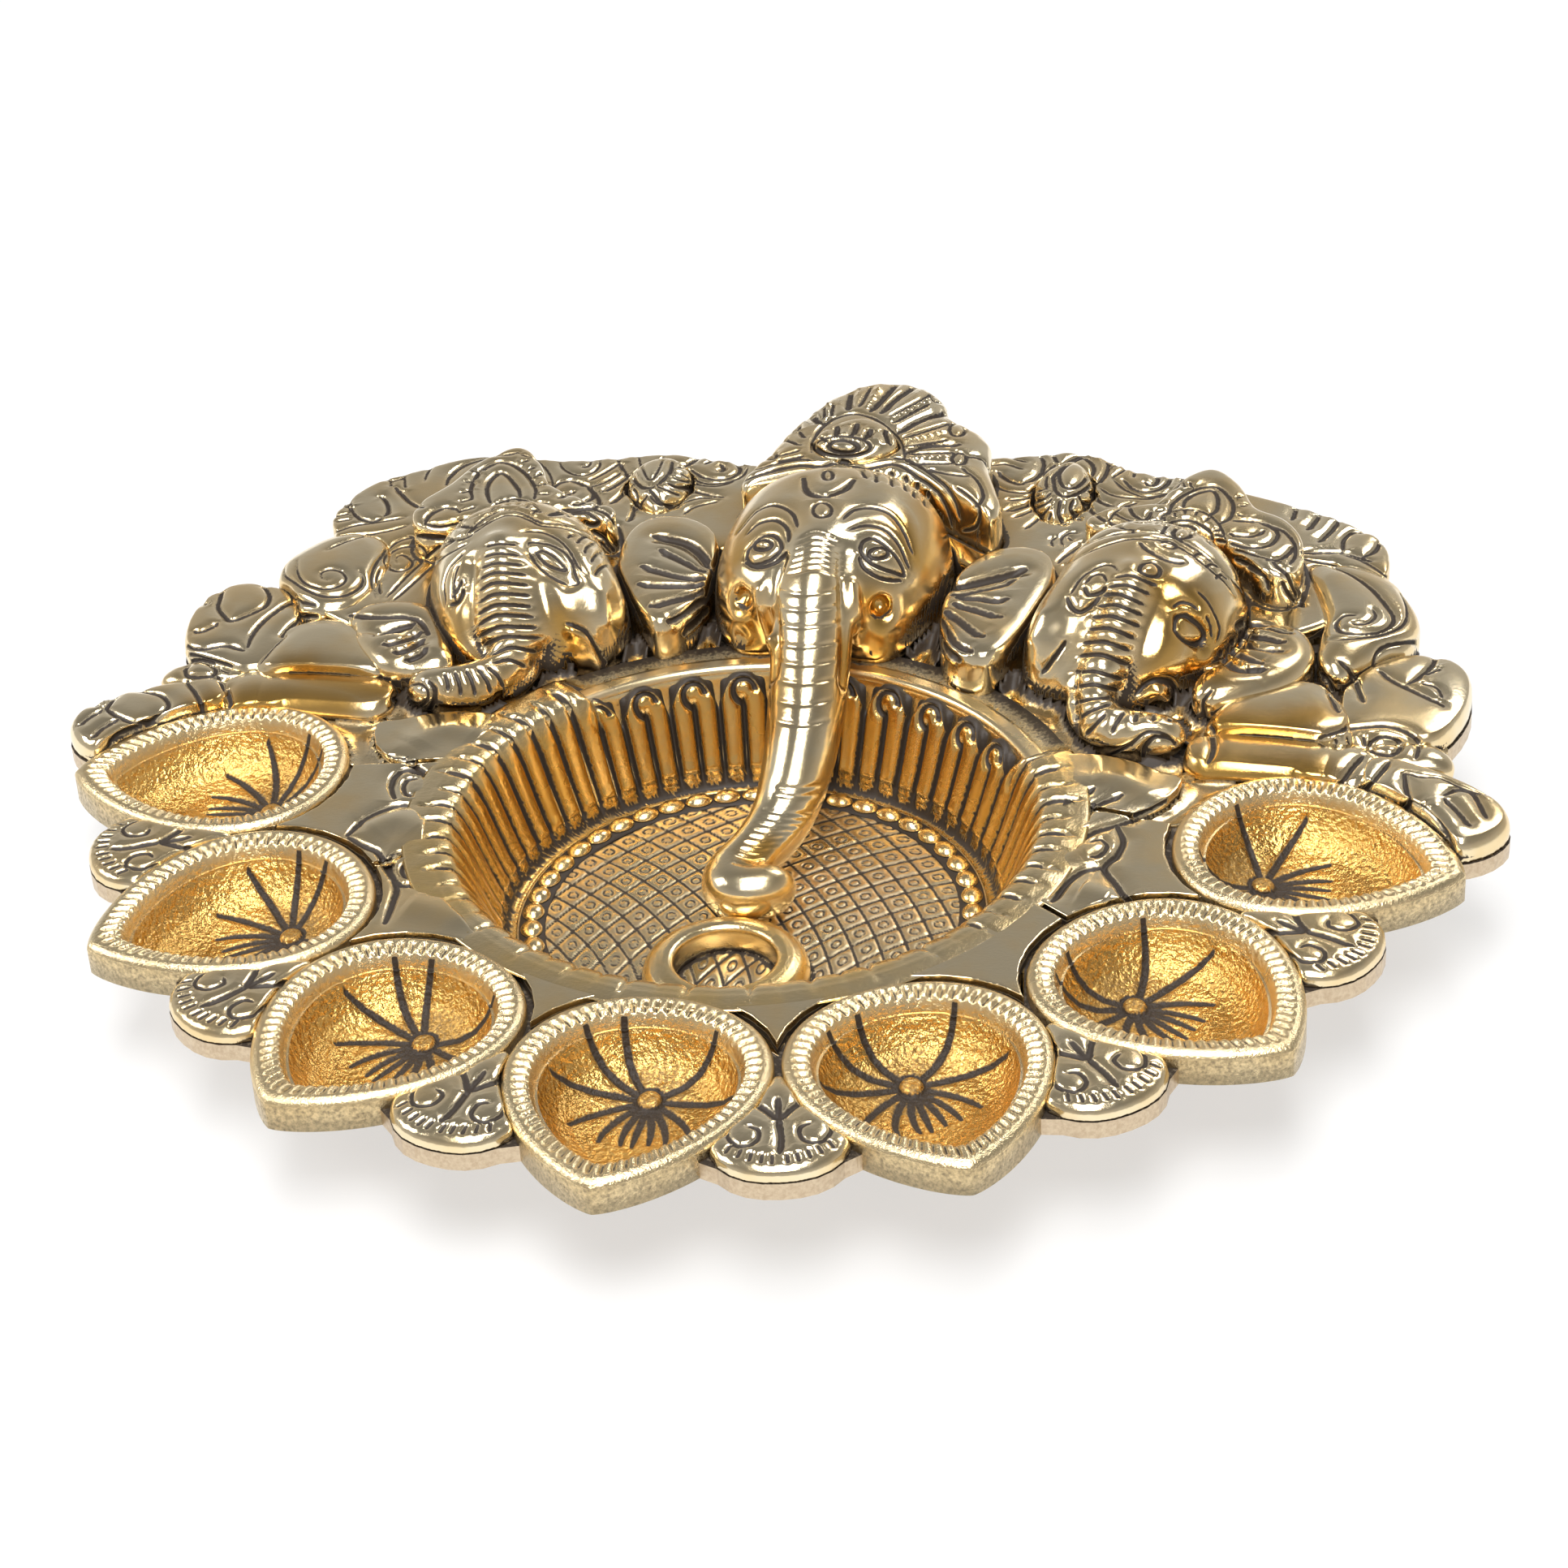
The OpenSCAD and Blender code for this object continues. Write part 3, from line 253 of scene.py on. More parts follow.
def points_of(mesh):
    points = np.empty(len(mesh.vertices) * 3)
    mesh.vertices.foreach_get("co", points)
    return points.reshape(-1, 3)


def paint(mesh, name, values):
    layer = mesh.attributes.get(name) or mesh.attributes.new(name, "FLOAT", "POINT")
    layer.data.foreach_set("value", np.clip(values, 0, 1).astype(np.float32))


# The dark channel written here holds wax in the cuts, and painted shade where the shade passes add to it.
def write(mesh, points, wax_and_shade):
    mesh.vertices.foreach_set("co", points.ravel())
    paint(mesh, "wax_and_shade", wax_and_shade)
    mesh.update()


def groove(distance, width):
    return np.exp(-(distance / width) ** 2)


bowl_gold = antique_gold("bowl_gold", pale_gold, warm_gold, 0.22, 0.2, 1.5)
floor_gold = antique_gold("floor_gold", pale_gold, (0.80, 0.62, 0.38), 0.3, 0.05, 0)
outer = [(0, 0), (43.5, 0), (45.5, 2), (53.1, 21), (53.1, 22), (55.5, 22), (55.5, 23.1), (55.2, 23.4)]
inner = spaced([(55.2, 23.4), (52.2, 23.5), (51.5, 23), (51.5, 21), (44.4, 4), (43.4, 2.7),
                (floor_r, floor_z)], 0.8)
floor = spaced([(floor_r, floor_z), (0, floor_z)], 0.42)
bowl = finished(turned(outer + inner[1:] + floor[1:], 424, bowl_mid), "offering_bowl_cast",
                floor_gold, ["offering_bowl"])
points = points_of(bowl.data)
plan = (points - np.array(bowl_mid)) / mm
reach = np.hypot(plan[:, 0], plan[:, 1])
on_floor = (reach < 41) & (np.abs(plan[:, 2] - floor_z) < 0.05)
sets = []
for heart in ((-62, -44), (62, -44)):
    ring = np.hypot(plan[:, 0] - heart[0], plan[:, 1] - heart[1])
    sets.append(((ring / lattice_pitch + 0.5) % 1 - 0.5) * lattice_pitch)
line = np.minimum(np.abs(sets[0]), np.abs(sets[1]))
from_heart = np.hypot(lattice_pitch / 2 - np.abs(sets[0]), lattice_pitch / 2 - np.abs(sets[1]))
cut = np.maximum(groove(line, 0.34), 0.9 * groove(from_heart - 0.9, 0.28))
cut = np.where(on_floor, cut * np.clip((39 - reach) / 0.8, 0, 1), 0)
points[:, 2] += np.where(on_floor, 0.1 * mm * (1 - groove(line, 0.9)) - 0.26 * mm * cut, 0)
rough_zone = np.clip(1 - np.abs(reach - 42) / 3.5, 0, 1) * (plan[:, 2] < 8)
write(bowl.data, points, np.maximum(cut * 0.78, rough_zone * 0.5) + 0.14 * on_floor)

# The lotus lining is a ring of petals that stands against the bowl's wall and bends over its flange.
# Each petal is two hollow flutes, chased deep so that wax stays in the furrows. At the back the petals
# end in round hooked tips, and elsewhere their flutes feather out over the plates.
petals = 33
profile = spaced([(41.6, 2.6), (42.7, 2.8), (44, 3.6), (45.4, 5.2), (46.7, 7.8), (48, 11.3), (49.3, 15),
                  (50.5, 18.4), (51.6, 21), (52.6, 22.8), (53.6, 23.8), (54.6, 24.4), (55.6, 24.72),
                  (57.2, 24.68), (58.6, 24.6), (59.8, 24.4)], 0.5)
under = [(59.6, 24.3), (55.3, 23.55), (52.2, 23.55), (51.4, 22.9), (51.4, 21), (44.3, 4), (43.3, 2.68),
         (41.6, 2.55)]
lining = finished(turned(profile + under + [profile[0]], petals * 26, bowl_mid),
                  "lotus_lining_cast", bowl_gold, ["lotus_lining"])
points = points_of(lining.data)
plan = (points - np.array(bowl_mid)) / mm
angle = np.arctan2(plan[:, 1], plan[:, 0])
reach = np.hypot(plan[:, 0], plan[:, 1])
height = plan[:, 2]
line = np.array(profile)
walked = np.concatenate([[0], np.cumsum(np.hypot(*np.diff(line.T)))])
tangent = np.gradient(line, walked, axis=0)
tangent /= np.hypot(*tangent.T)[:, None]
place = np.hypot(reach[:, None] - line[:, 0], height[:, None] - line[:, 1])
step = place.argmin(1)
outside = place.min(1) < 0.02
along = walked[step]
to_hub, to_sky = -tangent[step, 1], tangent[step, 0]
across = 2 * ((angle / math.tau * petals) % 1) - 1
wide = math.pi * reach / petals
degrees = np.degrees(angle)
hooked = np.clip((degrees - 27) / 5, 0, 1) * np.clip((139 - degrees) / 5, 0, 1)
brow = walked[-1] - 9.2
flutes = np.abs(np.sin(math.pi * across)) ** 0.4
crest = np.sqrt(np.clip(1 - across ** 2, 0, 1))
split = np.clip((brow - 3 - along) / 2.5, 0, 1)
fade = np.clip((along - 1.5) / 4, 0, 1)
ragged = 1 + 2.6 * (0.5 + 0.5 * np.sin(np.floor(angle / math.tau * petals * 2) * 2.4))
tail = np.clip((walked[-1] - ragged - along) / 9, 0, 1)
front = np.clip((-np.sin(angle) - 0.3) / 0.35, 0, 1) * np.clip((along - brow + 3) / 5, 0, 1)
tail = tail * (1 - 0.75 * front)
tip_bulge = flutes * split + crest * (1 - split)
bulge = 0.85 * fade * (hooked * tip_bulge + (1 - hooked) * flutes * tail)
# round tips at the back fall away to the flange
drop = hooked * np.clip((along - brow + 1.5 + 5.5 * np.abs(across) ** 2.6) / 4.5, 0, 1) ** 1.5 * 3.2
edge_cut = groove((1 - np.abs(across)) * wide, 0.72) * np.where(hooked > 0.5, 1, np.clip(tail * 3, 0, 1))
core_cut = groove(across * wide, 0.6) * (hooked * split + (1 - hooked) * np.clip(tail * 2.4 - 0.2, 0, 1))
hook = np.hypot(across * wide + 0.25, (along - brow + 2.6) * 0.9)
hook_cut = groove(hook - 2.1, 0.6) * hooked * ((along > brow - 2.8) | (across > 0))
cut = np.maximum(np.maximum(edge_cut, core_cut), hook_cut) * np.clip((along - 2.5) / 3, 0, 1)
stand = (1.3 + 0.4 * hooked) * fade * np.clip((brow + 4.5 - along) / 3, 0, 1)
lift = np.where(outside, stand + bulge - 1.05 * cut, 0)
spin = (points[:, :2] - np.array(bowl_mid)[:2]) / (reach[:, None] * mm)
points[:, :2] += spin * (to_hub * lift)[:, None] * mm
points[:, 2] += np.where(outside, to_sky * lift - drop, -np.where(height > 22, hooked * 0.8, 0)) * mm
foot = np.clip(1 - (along - 3) / 8, 0, 1) * outside
darkened = np.maximum(np.maximum(cut * 1.3, foot * 0.44), np.clip(drop - 0.4, 0, 1))
# A dark band on the flange behind the hooked tips: dark wax and painted shade under the tips.
dark_band = hooked * np.clip((along - brow - 4) / 2, 0, 0.6)
write(lining.data, points, np.where(outside, darkened, 0.2) + dark_band)

# Forty-six flattened beads lie round the floor in a chased channel, cast as one ring.
# Wax fills the channel and the foot of each bead, and the tops are rubbed bright.
bead_ring_r, bead_count = 39, 46
bm = turned([(36.6, floor_z), (36.9, 2.95), (41.1, 2.95), (41.35, floor_z)], 240, bowl_mid)
for i in range(bead_count):
    bead = bmesh.ops.create_uvsphere(bm, u_segments=20, v_segments=12, radius=mm)["verts"]
    bmesh.ops.scale(bm, verts=bead, vec=(2.0, 2.6, 1.4))
    bmesh.ops.translate(bm, verts=bead, vec=(bead_ring_r * mm, 0, (floor_z + 0.35) * mm))
    round_ring = Matrix.Rotation(math.tau * i / bead_count, 3, "Z")
    bmesh.ops.rotate(bm, verts=bead, cent=(0, 0, 0), matrix=round_ring)
    bmesh.ops.translate(bm, verts=bead, vec=bowl_mid)
beads = finished(bm, "bead_ring_cast", bowl_gold, ["bead_ring"])
points = points_of(beads.data)
write(beads.data, points, np.clip((floor_z + 0.8 - points[:, 2] / mm) / 0.4, 0, 1))

# The lamp ring is a smooth raised collar on the floor that keeps a lamp from sliding.
# It is cast on the floor, rubbed bright, and wax stays round its foot and in a line inside its lip.
lamp_mid = bowl_mid + Vector((0, -20 * mm, 0))
collar = spaced([(14.6, floor_z), (14.5, 4.6), (14.1, 5.8), (13.2, 6.8), (11.9, 7.4), (10.6, 7.6), (9.6, 7.5),
                 (9.0, 7.1), (8.8, 6.4), (8.8, floor_z)], 0.35)
lamp = finished(turned(collar, 240, lamp_mid), "lamp_ring_cast", bowl_gold, ["lamp_ring"])
points = points_of(lamp.data)
plan = (points - np.array(lamp_mid)) / mm
reach = np.hypot(plan[:, 0], plan[:, 1])
foot = np.clip((4 - plan[:, 2]) / 1.4, 0, 1)
write(lamp.data, points, foot * 0.8 + 0.3 * groove(reach - 9.1, 0.35))

# Seven oil cups stand round the front like petals, each a teardrop dish with a ribbed band for a rim.
# A ringed stud and black chased rays mark the rough amber hollow, which is darkened towards the stud with wax
# and painted shade, and the outside is filed upright and darkened with painted shade.
cup_gold = antique_gold("cup_gold", pale_gold, (0.82, 0.64, 0.36), 0.26, 0.5, 4)
cup_w, cup_tip, cup_heel, cup_fat = 42.6, 28, 21.5, 0.8623
ring_r, ring_y, cup_step = 97.5, 3, math.radians(26.48824)
ribs, sweep = 64, 448
lip, bottom, stud, stud_r = 0.79, 14, (0, 6.5), 2.3


def teardrop(t, s):
    x = s * cup_w / 2 / cup_fat * np.sin(t) * np.sqrt(np.abs(np.sin(t / 2)))
    y = s * ((cup_heel - cup_tip) / 2 - (cup_heel + cup_tip) / 2 * np.cos(t))
    return x, y


wall = [(0.74, 22.02), (1, 22.02), (1.0, 19.05), (1.004, 19.05), (1.004, 23.7), (0.998, 24.1), (0.985, 24.45)]
band = spaced([(98.5, 24.45), (97, 24.68), (95, 24.86), (92, 24.97), (88, 25), (84, 24.96), (81.5, 24.8),
               (80, 24.45), (79, 23.9)], 0.75)
hollow = spaced([(79, 23.9), (75.3, 21.64), (70, 19.6), (61.9, 17.44), (50, 15.8), (36.5, 14.92), (20, 14.55),
                 (0, 14.5)], 1.75)
bm = turned([(s * 100, z) for s, z in wall] + band[1:] + hollow[1:], sweep, (0, 0, 0))
bmesh.ops.recalc_face_normals(bm, faces=bm.faces)
cup_mesh = bpy.data.meshes.new("oil_cup")
bm.to_mesh(cup_mesh)
bm.free()
points = points_of(cup_mesh)
scale = np.hypot(points[:, 0], points[:, 1]) / mm / 100
angle = np.arctan2(points[:, 1], points[:, 0]) % math.tau
height = points[:, 2] / mm
x, y = teardrop(angle, scale)
walk = np.linspace(0, math.tau, 4001)
trail = np.stack(teardrop(walk, 0.88))
steps = np.concatenate([[0], np.cumsum(np.hypot(*np.diff(trail)))])
phase = np.interp(angle, walk, steps) / steps[-1] * ribs
between = np.abs(phase % 1 - 0.5) * steps[-1] / ribs
on_band = np.clip((scale - lip) / 0.02, 0, 1) * np.clip((0.935 - scale) / 0.05, 0, 1) * (height > 23.8)
rib_cut = groove(between, 0.34) * on_band
rib_round = groove(between, 0.75) * on_band
in_cup = (scale < lip) & (height > bottom)
from_stud = np.hypot(x - stud[0], y - stud[1])
ray_cut = np.zeros(len(x))
rays = ((-30, 11.5, -3), (4, 12.5, 2), (34, 10, 3), (56, 9, 2), (73, 8.5, 1), (90, 9, 0), (107, 9, -2),
        (127, 10, -3), (150, 11.5, -3), (180, 12.5, -2), (204, 13, 2), (230, 12, 4))
share = np.linspace(0, 1, 40)
for degrees, length, bend in rays:
    bearing = np.radians(degrees + bend * 4 * share ** 2)
    ray_x = stud[0] + (2.7 + length * share) * np.cos(bearing)
    ray_y = stud[1] - (2.7 + length * share) * np.sin(bearing)
    width = 0.78 * (1 - 0.5 * share ** 3)
    near = np.hypot(x[in_cup, None] - ray_x, y[in_cup, None] - ray_y) / width
    ray_cut[in_cup] = np.maximum(ray_cut[in_cup], np.exp(-near.min(1) ** 2))
ray_cut = np.maximum(ray_cut, groove(from_stud - stud_r, 0.42) * in_cup)
stud_rise = np.clip((2.2 - from_stud) / 0.7, 0, 1) * in_cup
height = height - 0.5 * rib_cut - 0.3 * rib_round - 0.5 * ray_cut + 0.6 * stud_rise
cup_points = np.stack([x, y, height], 1) * mm
# Dark wax lies in the rib and ray cuts. The cup's floor is darkened more towards the stud, dark wax together
# with painted shade, and the outer wall is darkened with painted shade.
cup_wax_and_shade = np.maximum(rib_cut * 0.74, ray_cut * 1.2)
deep = np.clip((lip - scale) / 0.06, 0, 1) * (height > bottom)
cup_shade_and_wax = 0.29 + 0.2 * np.clip((13 - from_stud) / 8, 0, 1)
cup_wax_and_shade = np.maximum(cup_wax_and_shade, np.maximum(cup_shade_and_wax * deep, 0.46 * (scale > 1)))
for i in range(7):
    bearing = (i - 3) * cup_step
    spin = np.array([[math.cos(bearing), -math.sin(bearing)], [math.sin(bearing), math.cos(bearing)]])
    cup = cup_points.copy()
    cup[:, 1] -= ring_r * mm
    cup[:, :2] = cup[:, :2] @ spin.T
    cup[:, 1] += ring_y * mm + plan_y
    mesh = cup_mesh.copy()
    write(mesh, cup, cup_wax_and_shade)
    name = f"oil_cup_{i + 1}"
    placed(mesh, name + "_cast", cup_gold, [name])

# Six leaves fill the corners between the cup tips, each cast as a low pad on the plate.
# A forked vein, a comma in each lobe and a fringe of ticks are chased into it and waxed.
relief_gold = antique_gold("relief_gold", (0.90, 0.77, 0.52), (0.87, 0.66, 0.35), 0.19, 0.07, 0.6)
plate_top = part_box("base_plate")[1].z
rim_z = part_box("oil_cup_4")[1].z


def skin_of(names, voxel, rounds, hold=True):
    bm = bmesh.new()
    for name in names:
        bm.from_mesh(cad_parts[name].data)
    bmesh.ops.remove_doubles(bm, verts=bm.verts, dist=0.001 * mm)
    rough = bpy.data.meshes.new("rough")
    bm.to_mesh(rough)
    bm.free()
    block = bpy.data.objects.new("rough", rough)
    scene.collection.objects.link(block)
    wrap = block.modifiers.new("wrap", "REMESH")
    wrap.mode = "VOXEL"
    wrap.voxel_size = voxel * mm
    ready = bpy.context.evaluated_depsgraph_get()
    fine = bpy.data.meshes.new_from_object(block.evaluated_get(ready))
    bpy.data.objects.remove(block)
    points = points_of(fine)
    pairs = np.empty(len(fine.edges) * 2, int)
    fine.edges.foreach_get("vertices", pairs)
    a, b = pairs.reshape(-1, 2).T
    many = len(points)
    links = (np.bincount(a, minlength=many) + np.bincount(b, minlength=many))[:, None]
    free = np.where(hold & (points[:, 2] < plate_top + 0.12 * mm), 0, 0.6)[:, None]
    for _ in range(rounds):
        near = np.stack([np.bincount(a, points[b, k], many) + np.bincount(b, points[a, k], many)
                         for k in range(3)], 1)
        points += (near / links - points) * free
    fine.vertices.foreach_set("co", points.ravel())
    fine.update()
    bm = bmesh.new()
    bm.from_mesh(fine)
    if hold:
        under = [f for f in bm.faces if f.normal.z < -0.5 and f.calc_center_median().z < plate_top + 0.3 * mm]
        bmesh.ops.delete(bm, geom=under, context="FACES")
        bmesh.ops.edgeloop_fill(bm, edges=[e for e in bm.edges if e.is_boundary])
    bm.normal_update()
    bm.to_mesh(fine)
    tree = BVHTree.FromBMesh(bm)
    bm.free()
    return {"names": names, "mesh": fine, "tree": tree, "floor": points[:, 2].min(), "cuts": [],
            "bosses": [], "creases": [], "shade_spots": []}


def smooth_line(points, gap):
    spots = []
    ends = [np.array(p, float) for p in (points[0], *points, points[-1])]
    for p0, p1, p2, p3 in zip(ends, ends[1:], ends[2:], ends[3:]):
        count = max(2, int(math.dist(p1, p2) / gap))
        for t in np.arange(count) / count:
            spots.append(0.5 * (2 * p1 + (p2 - p0) * t + (2 * p0 - 5 * p1 + 4 * p2 - p3) * t * t
                                + (3 * p1 - p0 - 3 * p2 + p3) * t ** 3))
    return spots + [ends[-1]]


def from_plan(level, bearing=0, shift=0):
    def look(x, y):
        across = x * math.cos(bearing) - y * math.sin(bearing)
        along = x * math.sin(bearing) + y * math.cos(bearing) + shift
        return Vector((across * mm, along * mm + plan_y, rim_z + level * mm)) - eye
    return look


def chase(group, kind, look, width, depth, lines, gap=0.2):
    for line in lines:
        spots = smooth_line(line, gap)
        closed = math.dist(line[0], line[-1]) < 1e-6
        for i, (x, y) in enumerate(spots):
            share = 1 if closed else min(1, 0.4 + 4 * min(i, len(spots) - 1 - i) / len(spots))
            best = None
            for part in group:
                spot, _, _, away = part["tree"].ray_cast(eye, look(x, y).normalized())
                if spot and (best is None or away < best[0]):
                    best = (away, part, spot)
            if best:
                best[1][kind].append((best[2], width * mm * (0.6 + 0.4 * share), depth * mm * share))


def nearest(points, marks):
    tree = KDTree(len(marks))
    for i, spot in enumerate(marks):
        tree.insert(spot[0], i)
    tree.balance()
    found = [tree.find(p) for p in points]
    index = np.array([f[1] for f in found])
    width = np.array([m[1] for m in marks])[index]
    depth = np.array([m[2] for m in marks])[index]
    return np.array([f[2] for f in found]), width, depth


def normals_of(mesh):
    normals = np.empty(len(mesh.vertices) * 3)
    mesh.vertex_normals.foreach_get("vector", normals)
    return normals.reshape(-1, 3)


def finish_relief(part, name, pillow=0.45):
    mesh = part["mesh"]
    points = points_of(mesh)
    move, wax_and_shade, spot_shade = (np.zeros(len(points)) for _ in range(3))
    for kind, way in (("bosses", 1), ("creases", -1)):
        if part[kind]:
            away, width, depth = nearest(points, part[kind])
            move += way * depth * groove(away, width)
    if part["cuts"]:
        away, width, depth = nearest(points, part["cuts"])
        move -= depth * (groove(away, width) + pillow * groove(away, 3.2 * width))
        wax_and_shade = groove(away, 1.35 * width) * np.clip(depth / (0.35 * mm), 0, 1)
    points += normals_of(mesh) * move[:, None]
    # Traced spots are turned deep amber in the material: painted shade.
    if part["shade_spots"]:
        away, width, _ = nearest(points, part["shade_spots"])
        spot_shade = groove(away, width)
    placed(mesh, name, relief_gold, part["names"])
    write(mesh, points, wax_and_shade)
    paint(mesh, "hollow", spot_shade)


leaf_lines = {
    (0.6, 0.62): [[(0, -103), (0, -108), (0.3, -113), (0, -117)],
                  [(0, -108.5), (-2.2, -105.5), (-4.6, -103.2)],
                  [(0, -108.5), (2.2, -105.5), (4.6, -103.2)]],
    (0.42, 0.5): [[(-7.6, -109), (-8, -112), (-6.2, -114.6), (-3.6, -113.6), (-3.2, -110.8), (-5, -109.8)],
                  [(7.6, -109), (8, -112), (6.2, -114.6), (3.6, -113.6), (3.2, -110.8), (5, -109.8)]],
    (0.34, 0.4): [[(x, -117.2 + 0.055 * x * x), (x * 1.14, -119.7 + 0.06 * x * x)]
                  for x in (-7.4, -5.8, -4.2, -2.6, -1.1, 1.1, 2.6, 4.2, 5.8, 7.4)]}
for i in range(6):
    leaf = skin_of([f"rim_leaf_{i + 1}"], 0.3, 11)
    for (width, depth), lines in leaf_lines.items():
        chase([leaf], "cuts", from_plan(0, (i - 2.5) * cup_step, ring_y), width, depth, lines)
    finish_relief(leaf, f"rim_leaf_{i + 1}_cast")

# Eight flat plates fill the corners between the bowl and the cups, level with the cup rims.
# They are rubbed bright, and seams and small curls chased into them part them into lapped petal tips.


def from_photo(x, y):
    return side * ((x - middle_px[0]) / focal_px) - top * ((y - middle_px[1]) / focal_px) - back


def trace(group, kind, width, depth, lines, gap=1.2):
    chase(group, kind, from_photo, width, depth, lines, gap)


def moved(part, points):
    part["mesh"].vertices.foreach_set("co", points.ravel())
    part["mesh"].update()


def settle(part):
    bm = bmesh.new()
    bm.from_mesh(part["mesh"])
    part["tree"] = BVHTree.FromBMesh(bm)
    bm.free()


def widen(part, grow):
    points = points_of(part["mesh"])
    points[:, :2] += normals_of(part["mesh"])[:, :2] * grow * mm
    moved(part, points)
    settle(part)


plates = [skin_of([f"rim_petal_{i}"], 0.3, 7) for i in range(1, 9)]
for plate in plates:
    widen(plate, -0.4)
trace(plates, "bosses", 3.4, 0.6, [
    [(505, 918), (548, 898), (596, 905)], [(450, 1022), (490, 1010), (526, 1022)],
    [(500, 1112), (540, 1122), (580, 1136)],
    [(1345, 958), (1385, 962), (1425, 984)], [(1330, 1096), (1370, 1104)], [(1330, 1050), (1368, 1042)]])
trace(plates, "cuts", 0.62, 0.8, [
    [(570, 990), (550, 971), (526, 954), (504, 946), (488, 952), (482, 967), (486, 982)],
    [(478, 930), (496, 934), (514, 943), (532, 955)],
    [(546, 1006), (520, 992), (494, 990), (468, 998), (446, 1010), (428, 1028)],
    [(430, 1031), (452, 1041), (466, 1048), (476, 1066), (488, 1088), (484, 1108), (474, 1136)],
    [(556, 1086), (534, 1066), (511, 1050), (492, 1049), (480, 1060), (482, 1076), (492, 1088)],
    [(490, 1090), (514, 1088), (540, 1098), (568, 1113)],
    [(1438, 986), (1408, 1003), (1376, 1014), (1345, 1024), (1318, 1046)],
    [(1376, 1016), (1384, 1034), (1376, 1052), (1361, 1067), (1376, 1088), (1394, 1116)],
    [(1358, 1068), (1336, 1070), (1316, 1084), (1297, 1109)],
    [(1348, 970), (1325, 983), (1306, 1006)], [(1382, 979), (1350, 990), (1326, 1013)]])
trace(plates, "cuts", 0.45, 0.6, [
    [(514, 958), (502, 959), (497, 968), (502, 977), (515, 977)],
    [(510, 1061), (500, 1062), (495, 1070), (500, 1078), (513, 1077)],
    [(1344, 1039), (1356, 1034), (1364, 1043), (1357, 1053), (1344, 1057)]])
for i, plate in enumerate(plates):
    finish_relief(plate, f"rim_petal_{i + 1}_cast")

# The left wing of the back is low sculpture: a scroll panel, lotus bud and volute lie flat on the plate.
# Before them stand a turned elephant head with its trunk, ear and crown, and two arms with open hands.
# Every line was chased after casting and filled with dark wax.
wing_pieces = ((["scroll_panel_"], 10), (["lotus_bud_"], 20), (["volute_"], 30), (["head_", "trunk_"], 90),
               (["ear_"], 20), (["crown_"], 14), (["forearm_lower_"], 30), (["hand_lower_"], 30),
               (["forearm_upper_"], 30), (["hand_upper_"], 30), (["rosette_"], 30))
wing_growth = (("forearm_lower_", 1.8), ("forearm_upper_", 1.8), ("ear_", 1), ("volute_", 0.8),
               ("head_", 0.7), ("crown_", 0.8), ("rosette_", 0.8))


def flatten(part, depth):
    points = points_of(part["mesh"])
    flat = points[:, 2].max() - depth * mm
    points[:, 2] = np.minimum(points[:, 2], flat + 0.35 * (points[:, 2] - flat).clip(0))
    moved(part, points)
    settle(part)


def shape(part, width, height, lines):
    marks = []
    for line in lines:
        for x, y in smooth_line(line, 3):
            spot = part["tree"].ray_cast(eye, from_photo(x, y).normalized())[0]
            if spot:
                marks.append((spot, width * mm, height * mm))
    points = points_of(part["mesh"])
    away, width, height = nearest(points, marks)
    points += normals_of(part["mesh"]) * (height * groove(away, width))[:, None]
    points[:, 2] = np.maximum(points[:, 2], np.minimum(plate_top, part["floor"]))
    moved(part, points)


def wing_of(hand):
    parts = {names[0] + hand: skin_of([name + hand for name in names], 0.36, rounds)
             for names, rounds in wing_pieces}
    for arm in ("forearm_lower_", "forearm_upper_", "hand_lower_", "hand_upper_"):
        flatten(parts[arm + hand], 2)
    for name, grow in wing_growth:
        widen(parts[name + hand], grow)
    return parts


left_side = wing_of("left")
wing = list(left_side.values())
left_head = left_side["head_left"]
shape(left_head, 3.6, 1.6, [
    [(616, 668), (618, 720), (622, 765), (626, 792), (606, 818), (566, 834), (528, 846)]])
shape(left_head, 1.9, -1.5, [[(580, 690), (577, 730), (577, 775), (592, 800)]])
shape(left_head, 2.4, -1.3, [[(664, 708), (672, 745), (683, 785), (668, 812), (650, 836), (620, 862)]])
shape(left_head, 2.2, -1.2, [[(655, 676), (675, 694), (700, 715)]])
shape(left_head, 2.4, 0.9, [[(740, 735), (745, 765)]])
shape(left_head, 1.5, 1.1, [[(706, 776), (724, 788), (735, 812), (740, 838)]])
settle(left_head)
shape(left_side["ear_left"], 2.4, -1.1, [[(430, 772), (470, 770), (505, 772), (520, 785)]])
settle(left_side["ear_left"])
